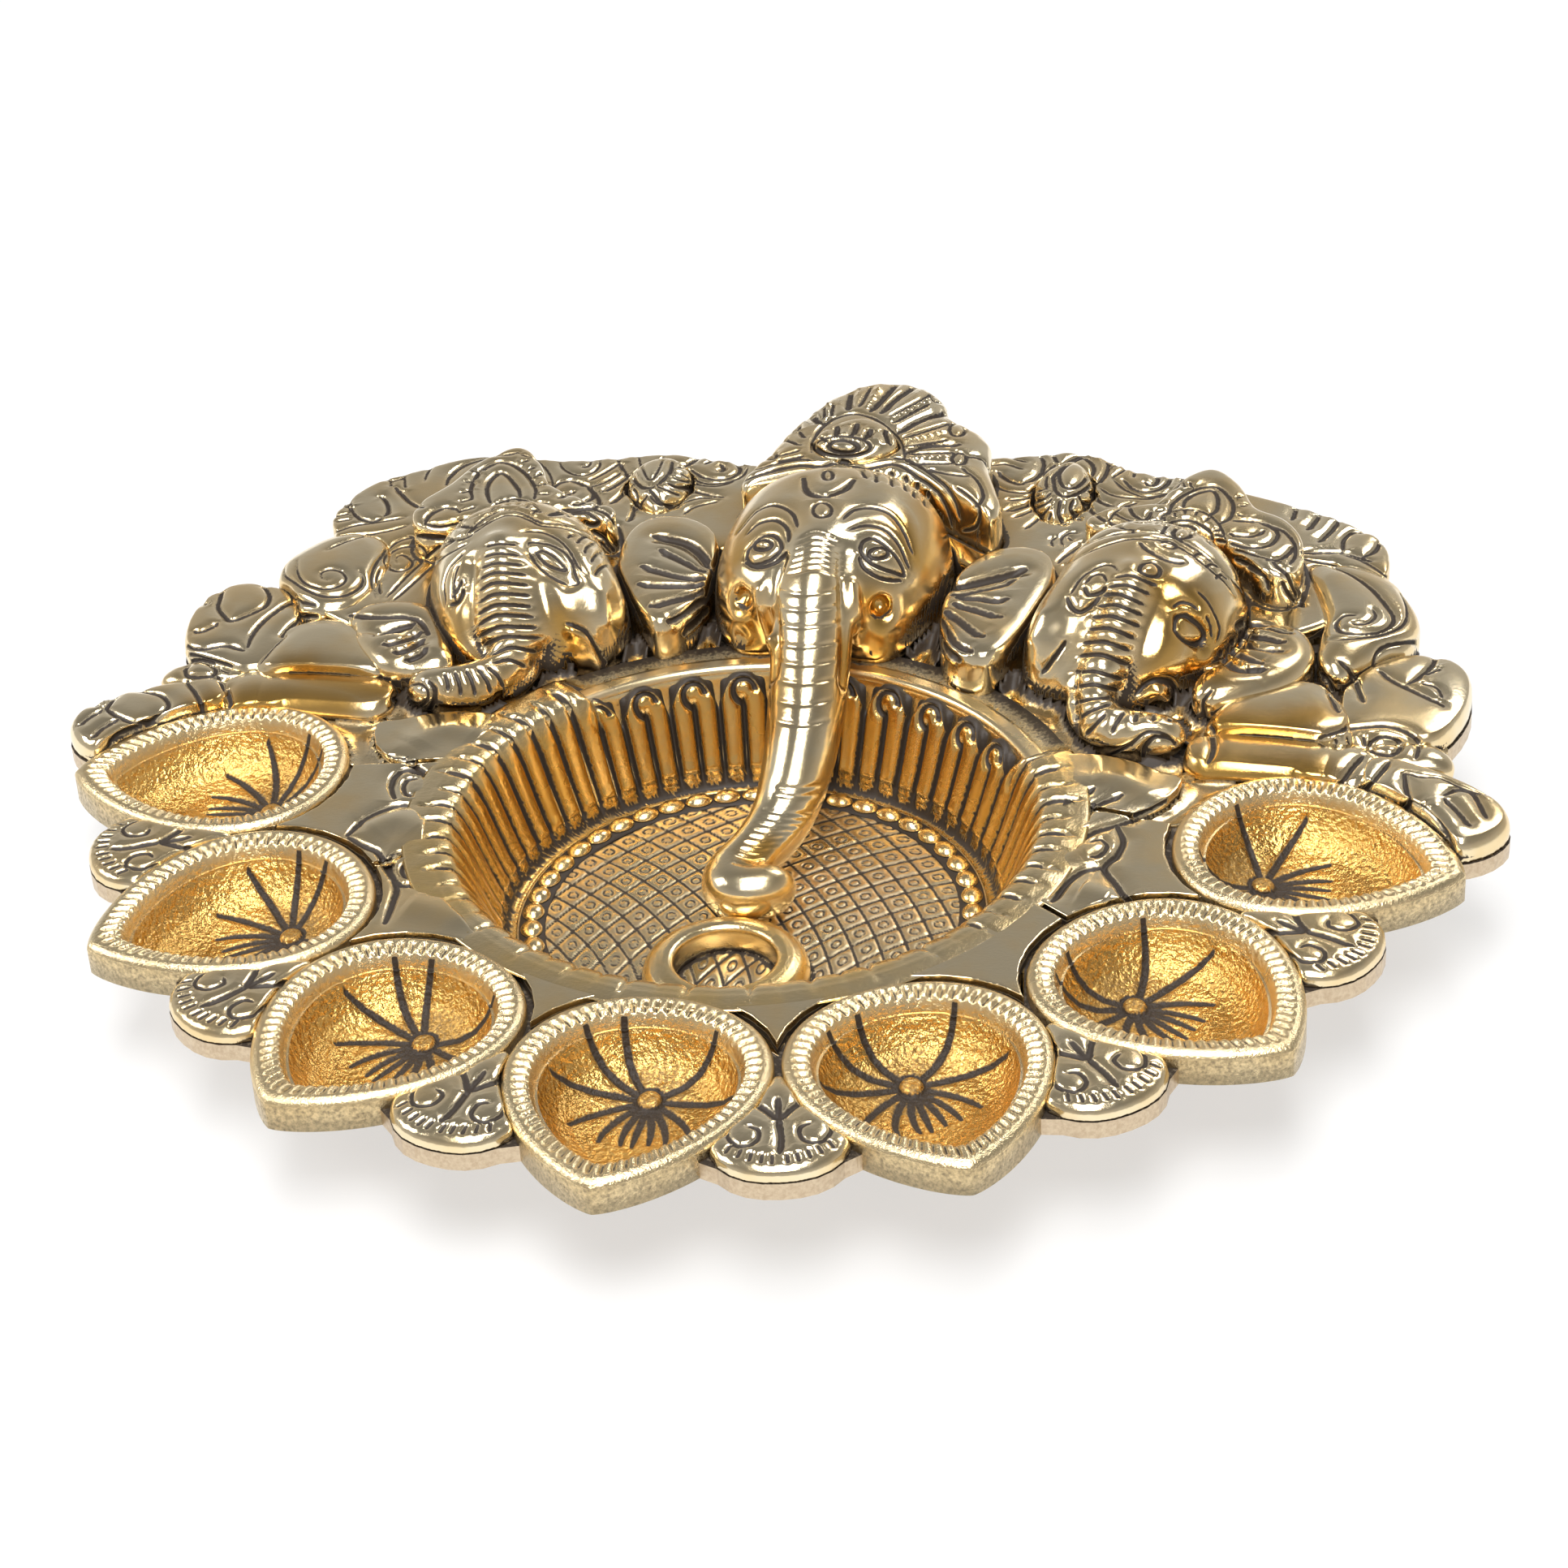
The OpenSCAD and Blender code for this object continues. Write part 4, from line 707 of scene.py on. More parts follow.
trace(wing, "cuts", 0.5, 0.7, [
    # scroll panel
    [(434, 603), (430, 612), (431, 622), (436, 630), (446, 637), (460, 640), (470, 637)],
    [(487, 599), (495, 606), (503, 614), (512, 620), (521, 624)],
    [(466, 611), (472, 611), (477, 618), (478, 627), (474, 634)],
    [(550, 596), (553, 587), (561, 578), (574, 570), (592, 564), (612, 559), (640, 556)],
    [(742, 604), (756, 597), (770, 588), (777, 584)], [(752, 619), (762, 611), (773, 601), (779, 596)],
    # lotus bud
    [(760, 560), (768, 576), (780, 591), (790, 598), (799, 600)],
    [(829, 567), (825, 580), (815, 590), (806, 597), (799, 600)],
    [(800, 602), (809, 612), (821, 622), (833, 625)], [(779, 602), (783, 616), (780, 630), (774, 641)],
    [(823, 594), (846, 600), (869, 606), (891, 611)], [(836, 575), (851, 568), (866, 557)],
    [(869, 570), (880, 565), (895, 563), (906, 567), (912, 576), (904, 584), (889, 588), (869, 586),
     (851, 578)],
    [(884, 579), (892, 575), (888, 570)],
    # crown
    [(582, 613), (580, 601), (584, 588), (592, 578), (603, 571), (615, 567), (630, 569), (645, 578),
     (655, 589), (660, 601), (658, 613)],
    [(604, 618), (600, 605), (601, 594), (607, 586), (616, 580), (625, 583), (633, 592), (639, 601),
     (641, 611)],
    [(505, 659), (525, 664), (550, 665), (570, 661), (590, 651)],
    [(523, 645), (526, 635), (535, 628), (548, 623), (560, 624), (566, 630)],
    [(526, 645), (542, 648), (562, 645), (586, 648)],
    [(682, 600), (690, 593), (705, 590), (722, 596), (733, 605), (738, 615), (733, 622), (715, 624),
     (690, 628), (676, 633)],
    [(688, 612), (700, 606), (709, 604)], [(706, 620), (718, 617), (729, 611), (731, 604), (724, 599)],
    [(678, 634), (700, 629), (725, 624), (746, 629), (758, 641), (765, 656), (766, 676), (760, 684)],
    [(700, 635), (713, 630), (723, 629), (730, 635), (735, 645), (726, 649), (713, 642)],
    [(575, 656), (590, 641), (605, 631), (620, 626), (640, 628), (655, 635), (668, 641), (690, 643),
     (712, 649), (736, 661), (755, 676), (766, 686)],
    # far eye, mouth and the end of the trunk
    [(556, 735), (562, 724), (568, 714)], [(553, 745), (565, 738), (571, 725)],
    [(697, 768), (710, 770), (724, 778), (736, 796), (748, 818)],
    [(699, 812), (703, 828), (690, 842), (675, 858)],
    [(527, 838), (535, 850), (533, 868), (525, 880), (505, 886)], [(485, 862), (497, 860)],
    # upper hand
    [(270, 735), (275, 722), (290, 713), (310, 713), (325, 720), (332, 732), (325, 745), (305, 755),
     (285, 762), (275, 755), (268, 745), (270, 735)],
    [(228, 748), (238, 742), (257, 742)], [(238, 776), (250, 775), (268, 766)],
    [(305, 796), (310, 780), (322, 765), (338, 752), (355, 742), (372, 741), (388, 745)],
    [(320, 816), (330, 800), (345, 785), (358, 770), (372, 762), (390, 760)],
    [(225, 795), (250, 797), (280, 793), (300, 800)],
    # rosette
    [(227, 822), (235, 815), (250, 814), (265, 820), (262, 830), (245, 832), (230, 830), (227, 822)],
    [(198, 827), (205, 815), (222, 808), (242, 806), (262, 812), (285, 821)],
    # lower hand
    [(130, 870), (140, 858), (155, 850), (180, 850), (200, 855), (207, 866), (198, 880), (185, 892),
     (165, 888), (145, 880), (130, 870)],
    [(93, 874), (108, 868), (125, 866)], [(95, 893), (108, 882), (125, 873)],
    [(112, 908), (125, 895), (145, 884)],
    [(135, 920), (150, 905), (175, 896)],
    [(230, 838), (240, 850), (248, 865), (250, 878)], [(268, 832), (277, 845), (282, 860), (282, 872)]])
trace(wing, "cuts", 0.34, 0.45, [
    [(415, 624), (431, 622)], [(412, 635), (430, 631)], [(414, 641), (433, 638)],
    [(462, 590), (472, 588), (483, 591), (498, 587)], [(481, 590), (482, 598)], [(498, 584), (499, 600)],
    [(410, 656), (432, 647), (462, 642), (500, 636)],
    [(402, 677), (422, 667), (452, 658), (480, 652), (503, 646)],
    [(523, 592), (526, 582), (533, 573), (546, 565), (562, 560)],
    [(688, 562), (692, 573), (703, 581), (717, 584), (731, 580), (739, 571), (737, 561)],
    [(723, 559), (728, 566), (724, 573), (716, 573)], [(725, 591), (741, 583), (756, 574), (765, 568)],
    [(728, 598), (746, 592), (766, 580)], [(787, 561), (790, 573), (796, 585), (800, 591)],
    [(818, 561), (812, 575), (805, 587), (800, 591)], [(783, 560), (791, 555), (805, 553), (820, 557)],
    [(775, 549), (780, 557)], [(745, 552), (760, 560)], [(797, 609), (790, 618), (785, 628)],
    [(799, 609), (808, 618), (819, 623)], [(826, 586), (850, 593), (880, 597), (906, 591)],
    [(808, 597), (820, 601), (839, 610)],
    [(922, 569), (918, 581), (904, 590), (880, 594), (856, 590), (835, 580)],
    [(833, 626), (841, 618), (861, 612), (882, 612)], [(842, 633), (851, 625), (866, 620), (886, 616)],
    # ribs and bands of the crown
    [(643, 568), (651, 565)], [(651, 577), (660, 573)], [(657, 586), (669, 582)], [(661, 596), (676, 594)],
    [(663, 607), (678, 607)], [(662, 618), (677, 619)], [(655, 626), (668, 630)],
    [(640, 558), (655, 562), (668, 571), (678, 584), (682, 600)],
    [(591, 580), (580, 578)], [(584, 591), (572, 592)], [(580, 602), (567, 606)], [(581, 613), (565, 617)],
    [(586, 623), (563, 629)], [(593, 632), (566, 641)], [(601, 640), (575, 655)],
    [(612, 617), (614, 625)], [(625, 613), (626, 622)], [(640, 612), (638, 621)], [(652, 617), (648, 625)],
    [(662, 625), (656, 632)], [(603, 630), (612, 620), (625, 614), (640, 613), (655, 618), (668, 630)],
    [(585, 655), (598, 645), (612, 637), (625, 633), (640, 634), (655, 640), (668, 646), (690, 648),
     (712, 655), (735, 667), (752, 681), (762, 692)],
    # hair, brow and eye
    [(700, 662), (704, 657), (708, 661)], [(711, 668), (717, 662), (724, 659)],
    [(721, 681), (724, 673), (733, 668)],
    [(729, 692), (735, 683), (743, 680)], [(734, 708), (741, 699), (750, 695)],
    [(641, 655), (655, 653), (672, 655), (690, 664), (703, 678), (712, 695), (721, 707)],
    [(651, 677), (652, 668), (662, 667), (680, 670), (696, 679), (705, 692), (709, 708), (712, 718),
     (700, 721)],
    [(651, 677), (660, 691), (672, 704), (686, 713), (700, 720)],
    [(660, 680), (668, 677), (680, 683), (690, 692), (697, 702), (685, 700), (672, 693), (660, 680)],
    [(560, 740), (557, 725), (560, 705), (566, 695)],
    [(548, 745), (545, 722), (552, 700), (566, 685), (573, 678)],
    # small spirals and the volute
    [(560, 663), (530, 661), (505, 661), (486, 668), (471, 684), (461, 700), (459, 716), (463, 736)],
    [(520, 692), (524, 684), (519, 676), (508, 672), (494, 673), (482, 679), (475, 689), (479, 698),
     (491, 702), (503, 699), (508, 692), (504, 686), (495, 682), (488, 686), (489, 693)],
    [(475, 736), (500, 709), (520, 691), (541, 675), (562, 664)],
    [(482, 741), (511, 715), (531, 697), (551, 681), (577, 668)],
    [(468, 731), (466, 713), (470, 700)],
    [(366, 690), (366, 703), (372, 714), (385, 721), (402, 724), (418, 720), (426, 712), (421, 703),
     (408, 700), (396, 704), (397, 711), (404, 714)],
    [(350, 698), (350, 708), (360, 716), (378, 726), (398, 733), (422, 733), (441, 725), (448, 714),
     (443, 702)],
    # fingers and rosette ticks
    [(250, 712), (270, 708), (295, 713)], [(244, 722), (262, 722)], [(205, 806), (215, 808)],
    [(190, 831), (198, 826)],
    [(182, 836), (196, 832)], [(272, 823), (283, 828)],
    [(502, 845), (515, 842), (525, 850), (526, 862), (517, 872), (503, 872)]])
trace(wing, "cuts", 0.42, 0.42, [
    [(597, 672), (615, 668), (638, 670)], [(594, 685), (614, 680), (642, 683)],
    [(591, 699), (612, 692), (646, 695)],
    [(589, 713), (611, 704), (650, 707)], [(588, 728), (610, 717), (653, 720)],
    [(587, 743), (611, 731), (656, 733)],
    [(586, 758), (611, 745), (657, 747)], [(586, 772), (612, 758), (660, 760)],
    [(588, 786), (616, 772), (664, 773)],
    [(594, 797), (620, 784), (668, 786)], [(604, 806), (630, 797), (664, 804)],
    [(606, 816), (628, 812), (650, 822)],
    [(600, 820), (614, 832), (622, 848)], [(588, 822), (600, 838), (606, 855)],
    [(574, 824), (582, 840), (586, 858)],
    [(560, 826), (566, 842), (568, 858)], [(547, 828), (551, 840), (552, 852)]])
trace(wing, "cuts", 0.75, 0.8, [
    [(432, 757), (470, 757), (502, 757), (518, 764), (527, 780)], [(462, 781), (485, 774), (510, 767)],
    [(472, 792), (497, 786), (518, 778)], [(485, 802), (503, 797), (521, 787)],
    [(500, 812), (515, 806), (525, 796)]])
# Deep amber patches on the cheek, under the trunk and along the arms: painted shade.
trace(wing, "shade_spots", 5, 1, [
    [(690, 760), (700, 800), (690, 840)], [(640, 850), (600, 868), (560, 872)], [(545, 760), (560, 790)],
    [(360, 826), (420, 838), (470, 850)], [(250, 870), (340, 862), (420, 868)]], 6)
for name, part in left_side.items():
    finish_relief(part, name + "_cast", pillow=0.6)

# The right wing carries the same pieces as the left, modelled again by hand and so a little different.
# It is cast, chased and waxed in the same way.
right_side = wing_of("right")
wing = list(right_side.values())
right_head = right_side["head_right"]
shape(right_head, 3.8, 1.6, [
    [(1398, 704), (1385, 745), (1366, 800), (1352, 845), (1356, 880), (1395, 898), (1440, 905)]])
shape(right_head, 2.0, -1.4, [[(1358, 735), (1340, 770), (1322, 815), (1318, 855), (1322, 890)]])
shape(right_head, 2.6, -1.7, [[(1432, 730), (1418, 765), (1408, 800), (1395, 840), (1380, 862)]])
shape(right_head, 2.6, -1.3, [[(1455, 745), (1470, 770), (1485, 795)]])
shape(right_head, 2.2, 0.9, [[(1275, 785), (1285, 760)]])
shape(right_head, 1.6, 1.3, [[(1428, 852), (1434, 858)]])
settle(right_head)
shape(right_side["ear_right"], 2.2, -0.9, [[(1520, 790), (1550, 787), (1575, 795)]])
settle(right_side["ear_right"])
trace(wing, "cuts", 0.5, 0.7, [
    # lotus bud and its leaves
    [(1297, 585), (1300, 600), (1310, 608), (1325, 607), (1345, 598), (1360, 585), (1366, 570), (1360, 560),
     (1345, 556), (1325, 562), (1308, 572), (1297, 585)],
    [(1306, 590), (1305, 580), (1315, 570), (1332, 562), (1342, 565), (1348, 575), (1340, 588), (1325, 598),
     (1312, 597), (1306, 590)],
    [(1290, 601), (1287, 590), (1291, 578), (1300, 571)], [(1296, 555), (1304, 568)],
    [(1338, 542), (1335, 552), (1326, 558)], [(1372, 547), (1355, 557), (1346, 562)],
    [(1392, 556), (1380, 567), (1370, 574)],
    [(1280, 558), (1286, 566), (1284, 578), (1276, 587), (1262, 593)],
    [(1230, 580), (1245, 590), (1262, 595)],
    [(1240, 628), (1261, 622), (1281, 614), (1294, 606)], [(1307, 615), (1305, 630), (1312, 645)],
    [(1324, 615), (1322, 628), (1331, 639)],
    [(1330, 610), (1340, 622), (1356, 635), (1376, 645), (1397, 651)],
    [(1343, 605), (1356, 615), (1372, 622)],
    [(1397, 586), (1400, 576), (1415, 571), (1430, 573), (1441, 581), (1440, 591), (1428, 600), (1410, 603),
     (1395, 599), (1385, 590)],
    [(1418, 580), (1427, 587), (1421, 595), (1411, 593)],
    [(1391, 622), (1399, 632), (1411, 637), (1419, 629)],
    # crown
    [(1304, 692), (1312, 684), (1336, 669), (1366, 657), (1396, 653), (1432, 655), (1465, 668), (1495, 690),
     (1515, 708), (1530, 725), (1540, 740)],
    [(1440, 632), (1445, 618), (1460, 606), (1480, 598), (1499, 597), (1513, 607), (1520, 620), (1516, 635),
     (1505, 643)],
    [(1458, 623), (1462, 612), (1478, 604), (1495, 602), (1501, 612), (1499, 625), (1490, 634)],
    [(1446, 652), (1452, 647), (1462, 645), (1470, 650), (1468, 657), (1458, 660), (1448, 657), (1446, 652)],
    [(1432, 656), (1438, 645), (1450, 638), (1468, 638), (1482, 645), (1490, 655), (1492, 669)],
    [(1520, 640), (1545, 640), (1565, 645), (1575, 655), (1565, 668), (1545, 672), (1515, 670)],
    [(1515, 656), (1540, 658), (1558, 652)],
    [(1552, 642), (1580, 650), (1595, 665), (1598, 680), (1590, 693)],
    [(1560, 688), (1580, 685), (1595, 672)], [(1568, 690), (1585, 705), (1595, 722), (1605, 741)],
    [(1580, 718), (1590, 733), (1606, 746)], [(1520, 690), (1540, 700), (1555, 712), (1562, 727)],
    # leaves and volutes
    [(1590, 610), (1597, 622), (1592, 639)], [(1625, 621), (1624, 635), (1611, 651)],
    [(1650, 640), (1640, 652), (1625, 666)],
    [(1655, 676), (1656, 662), (1668, 653), (1683, 655)],
    [(1650, 641), (1670, 638), (1690, 645), (1702, 660), (1695, 675), (1680, 685)],
    [(1605, 680), (1630, 678), (1660, 680), (1690, 690)],
    [(1605, 687), (1635, 693), (1665, 705), (1690, 722), (1708, 742), (1718, 758), (1712, 770), (1695, 777),
     (1670, 778), (1650, 774), (1645, 766), (1655, 757), (1670, 756)],
    # forehead mark, eyes, mouth and the end of the trunk
    [(1404, 667), (1420, 678), (1440, 688), (1460, 692)],
    [(1405, 700), (1408, 692), (1420, 690), (1430, 697), (1428, 707), (1415, 706), (1405, 700)],
    [(1336, 722), (1342, 730), (1355, 729), (1361, 722)],
    [(1314, 735), (1320, 747), (1332, 752), (1345, 745), (1355, 735)],
    [(1450, 775), (1452, 760), (1460, 757), (1472, 765), (1482, 775), (1485, 785), (1478, 793), (1465, 790),
     (1455, 782), (1450, 775)],
    [(1313, 790), (1303, 803), (1292, 817), (1283, 830)],
    [(1400, 855), (1412, 843), (1428, 838), (1445, 842), (1452, 858), (1448, 875)],
    [(1408, 935), (1412, 920), (1425, 908), (1443, 910), (1450, 918)],
    [(1492, 850), (1480, 865), (1482, 885), (1492, 900), (1495, 920), (1488, 940)],
    # upper hand
    [(1618, 825), (1632, 838), (1643, 858), (1650, 876)],
    [(1650, 813), (1664, 825), (1673, 845), (1680, 863)],
    [(1693, 818), (1700, 801), (1712, 793), (1735, 790), (1755, 795), (1768, 808), (1760, 822), (1745, 835),
     (1735, 841)],
    [(1700, 825), (1720, 838), (1745, 850), (1770, 862), (1779, 869)],
    # rosette
    [(1690, 912), (1700, 905), (1718, 908), (1725, 918), (1715, 927), (1698, 927), (1688, 920), (1690, 912)],
    [(1625, 911), (1650, 898), (1680, 893), (1710, 892), (1735, 900), (1748, 915), (1745, 933)],
    # lower hand
    [(1680, 930), (1668, 942), (1655, 960), (1645, 976)],
    [(1712, 937), (1700, 950), (1685, 968), (1672, 986)],
    [(1730, 950), (1732, 965), (1735, 985), (1728, 1000), (1719, 1009)], [(1735, 986), (1755, 992)],
    [(1750, 990), (1765, 1005), (1778, 1025), (1785, 1036)], [(1780, 982), (1795, 995), (1812, 1016)],
    [(1780, 978), (1795, 970), (1815, 975), (1825, 990), (1832, 1006)]])
trace(wing, "cuts", 0.34, 0.45, [
    [(1222, 558), (1245, 556), (1266, 558)], [(1222, 563), (1245, 563), (1267, 568)],
    [(1222, 572), (1240, 570), (1262, 577)],
    [(1225, 598), (1246, 604), (1270, 605), (1291, 600)], [(1240, 615), (1260, 613), (1281, 609)],
    [(1248, 637), (1266, 630), (1286, 620), (1297, 612)], [(1262, 651), (1280, 637), (1293, 622)],
    [(1290, 641), (1294, 631)],
    [(1352, 598), (1371, 608), (1396, 612), (1421, 612), (1438, 605)],
    [(1369, 588), (1381, 580), (1398, 570)],
    [(1370, 588), (1386, 601), (1411, 610), (1436, 606), (1451, 597), (1457, 585)],
    [(1456, 590), (1461, 599)],
    [(1466, 592), (1469, 599)], [(1366, 641), (1373, 630), (1386, 622), (1402, 618)],
    [(1371, 629), (1386, 637), (1406, 643), (1427, 639)],
    # bands, ribs and ticks of the crown
    [(1310, 697), (1338, 680), (1368, 668), (1397, 662), (1430, 664), (1460, 676), (1488, 697), (1508, 714),
     (1522, 732)],
    [(1297, 672), (1296, 664), (1302, 660)], [(1310, 672), (1308, 662), (1318, 655), (1330, 655)],
    [(1322, 665), (1316, 660)],
    [(1424, 612), (1440, 606)], [(1423, 620), (1437, 617)], [(1423, 628), (1435, 627)],
    [(1522, 612), (1530, 610)],
    [(1526, 622), (1536, 621)], [(1524, 632), (1534, 634)],
    [(1425, 645), (1435, 632), (1455, 626), (1480, 628), (1497, 638), (1506, 652), (1510, 669)],
    [(1436, 641), (1434, 634)], [(1448, 635), (1447, 629)], [(1460, 632), (1460, 626)],
    [(1473, 634), (1475, 628)],
    [(1485, 641), (1490, 635)], [(1495, 652), (1508, 650)], [(1495, 659), (1509, 659)],
    [(1497, 667), (1510, 668)],
    [(1518, 678), (1545, 682), (1582, 691)], [(1535, 700), (1550, 708), (1560, 712)],
    # outer volute line, brows and hair
    [(1650, 681), (1680, 690), (1710, 710), (1730, 735), (1735, 755), (1728, 770), (1705, 780), (1670, 785),
     (1640, 787)],
    [(1665, 767), (1685, 766), (1695, 757), (1690, 748)],
    [(1430, 668), (1440, 664), (1450, 670), (1445, 674), (1432, 671)],
    [(1336, 718), (1345, 708), (1358, 706), (1363, 716)],
    [(1318, 732), (1330, 712), (1350, 698), (1368, 694), (1378, 703)],
    [(1445, 748), (1455, 742), (1468, 744), (1478, 752)],
    [(1475, 727), (1488, 738), (1498, 755), (1505, 775), (1500, 791)],
    [(1487, 758), (1493, 770), (1494, 786)], [(1470, 685), (1478, 680), (1486, 684)],
    [(1486, 698), (1494, 693), (1502, 698)],
    [(1498, 712), (1506, 707), (1514, 713)],
    [(1330, 941), (1360, 935), (1390, 920), (1410, 903), (1430, 902), (1448, 912)],
    [(1535, 822), (1560, 821)],
    # fingers
    [(1765, 803), (1780, 808)], [(1755, 830), (1776, 822)], [(1750, 840), (1770, 845), (1778, 859)],
    [(1645, 910), (1648, 918)], [(1662, 906), (1664, 918)], [(1680, 905), (1682, 920)],
    [(1730, 950), (1750, 955), (1775, 957), (1800, 968), (1830, 978)]])
trace(wing, "cuts", 0.45, 0.45, [
    [(1372, 710), (1395, 707), (1427, 722)], [(1364, 722), (1389, 719), (1419, 732)],
    [(1358, 733), (1381, 731), (1412, 745)],
    [(1352, 746), (1376, 744), (1410, 758)], [(1345, 760), (1370, 758), (1407, 772)],
    [(1340, 775), (1365, 773), (1401, 787)],
    [(1333, 792), (1359, 790), (1394, 802)], [(1328, 808), (1356, 806), (1392, 820)],
    [(1323, 828), (1350, 826), (1385, 838)],
    [(1322, 846), (1350, 842), (1380, 852)], [(1322, 866), (1345, 859), (1372, 858)],
    [(1325, 886), (1346, 873), (1370, 865)],
    [(1336, 906), (1346, 895), (1362, 878)], [(1368, 904), (1375, 890), (1385, 875)],
    [(1398, 889), (1403, 870)],
    [(1421, 887), (1425, 870)], [(1440, 887), (1452, 875)], [(1460, 892), (1472, 882)]])
trace(wing, "cuts", 0.8, 0.85, [
    [(1525, 772), (1545, 766), (1565, 770), (1590, 778)], [(1530, 781), (1560, 783), (1582, 789)],
    [(1518, 791), (1545, 795), (1578, 801)], [(1515, 800), (1535, 806), (1555, 815)],
    [(1505, 804), (1515, 815), (1530, 822), (1560, 822)]])
# Deep amber patches on the cheek, beside the ear and along the arms: painted shade.
trace(wing, "shade_spots", 6, 1, [
    [(1432, 720), (1450, 760), (1440, 800), (1420, 840)], [(1470, 735), (1490, 780), (1470, 815)],
    [(1500, 888), (1560, 895), (1620, 880)], [(1520, 800), (1500, 830)],
    [(1480, 950), (1540, 952), (1620, 950)]], 6)
for name, part in right_side.items():
    finish_relief(part, name + "_cast", pillow=0.6)

# Middle head, the tallest piece: broad ears lie flat behind it and the trunk runs down over the lamp,
# with a tusk either side. The tall crown carries a gem, bead rows and looped scrolls.


def oval(x, y, half_x, half_y, n=16):
    return [(x + half_x * math.cos(math.tau * i / n), y + half_y * math.sin(math.tau * i / n))
            for i in range(n + 1)]


middle = {names[0]: skin_of(names, voxel, rounds, hold) for names, voxel, rounds, hold in (
    (["head_middle", "trunk_middle"], 0.38, 120, False),
    (["ear_middle_left"], 0.36, 8, True), (["ear_middle_right"], 0.36, 8, True),
    (["crown_middle"], 0.36, 12, True), (["crown_gem"], 0.25, 30, False))}
middle["head_middle"]["names"] += ["tusk_left", "tusk_right"]
face = list(middle.values())
for name in ("ear_middle_left", "ear_middle_right"):
    flatten(middle[name], 2.6)
middle_head = middle["head_middle"]
shape(middle_head, 5, 0.8, [[(1008, 668), (1001, 720), (998, 780), (996, 840), (993, 900), (986, 950)]])
shape(middle_head, 1.7, -1.1, [
    [(962, 690), (952, 730), (955, 790), (952, 830)], [(1040, 680), (1040, 730), (1042, 800), (1040, 840)]])
shape(middle_head, 1.5, 1.2, [
    [(937, 728), (938, 752), (946, 778), (950, 790)], [(1050, 722), (1053, 750), (1056, 775), (1058, 790)]])
shape(middle["ear_middle_right"], 1.8, -0.8, [[(1168, 722), (1200, 716), (1232, 709), (1262, 702)]])
shape(middle["ear_middle_left"], 1.8, -0.8, [[(812, 662), (832, 666), (852, 674), (870, 690)]])
shape(middle_head, 1.7, -0.9, [[(912, 782), (914, 785)], [(1082, 744), (1084, 747)]])
for part in face:
    settle(part)
brow_level = from_plan(13)
# crown: grooves between the ribs, loops, bead rows, medallion and head band
trace(face, "cuts", 0.72, 0.9, [
    [(1049, 468), (1047, 485), (1045, 503)], [(1117, 457), (1100, 475), (1080, 497), (1073, 505)],
    [(1140, 466), (1120, 478), (1100, 492), (1086, 507)],
    [(1180, 505), (1150, 510), (1125, 520), (1107, 532)],
    [(1182, 546), (1150, 546), (1130, 550), (1115, 558)], [(994, 507), (1003, 513), (1013, 520)],
    oval(1038, 548, 19, 9), [(990, 588), (993, 600), (1003, 607), (1020, 608), (1040, 600), (1052, 590)],
    [(1031, 524), (1030, 534)], [(1056, 521), (1050, 534)], [(1073, 528), (1067, 538)],
    [(1092, 529), (1098, 546)]])
trace(face, "cuts", 0.45, 0.6, [
    [(1081, 457), (1069, 482), (1058, 500)], oval(1157, 486, 10, 8), [(1145, 496), (1125, 506), (1100, 520)],
    [(1148, 484), (1122, 498), (1096, 512)], [(1170, 520), (1145, 528), (1112, 538)],
    [(1168, 540), (1140, 544), (1114, 548)],
    oval(1180, 527, 10, 8), [(1175, 556), (1150, 556), (1120, 558)], [(1175, 569), (1145, 569), (1120, 570)],
    oval(1182, 563, 9, 7),
    [(1195, 585), (1170, 582), (1145, 577)],
    [(1185, 575), (1205, 590), (1212, 610), (1200, 625)],
    [(1178, 600), (1195, 612), (1205, 630), (1200, 650), (1185, 655)],
    [(1190, 560), (1212, 565), (1220, 580)], oval(1018, 487, 9, 7), [(1014, 497), (1016, 514)],
    [(1026, 497), (1024, 512)],
    oval(978, 525, 6, 5), [(984, 530), (992, 538)], [(955, 543), (970, 541), (987, 547)],
    oval(949, 560, 7, 4),
    [(958, 560), (985, 553)], [(960, 566), (990, 560)],
    oval(1038, 549, 35, 14),
    [(1000, 556), (1003, 540), (1012, 525), (1030, 513), (1055, 508), (1080, 515), (1098, 530), (1112, 550),
     (1115, 565)],
    [(1010, 537), (1019, 543)],
    [(905, 600), (925, 587), (955, 578), (985, 572), (1010, 574), (1030, 569), (1050, 572), (1065, 577),
     (1085, 573), (1100, 570), (1115, 575), (1130, 588), (1145, 600), (1157, 612), (1167, 632),
     (1172, 650)],
    [(1100, 563), (1120, 566), (1140, 577), (1155, 590), (1166, 603), (1175, 620), (1182, 640)],
    [(908, 590), (930, 577), (958, 569), (985, 564), (1000, 566)],
    [(1062, 578), (1068, 588)], [(1080, 578), (1080, 593)], [(1098, 580), (1100, 598)],
    [(1115, 586), (1117, 604)],
    [(1130, 595), (1127, 612)], [(1143, 606), (1140, 622)], oval(1020, 583, 6, 6), oval(1013, 626, 12, 9)])
trace(face, "bosses", 0.6, 0.5, [[p, p] for line in (
    [(1091, 466), (1070, 500)], [(1145, 491), (1100, 515)], [(1165, 531), (1115, 543)],
    [(1170, 562), (1122, 564)],
    [(1020, 498), (1020, 514)]) for p in smooth_line(line, 7)])
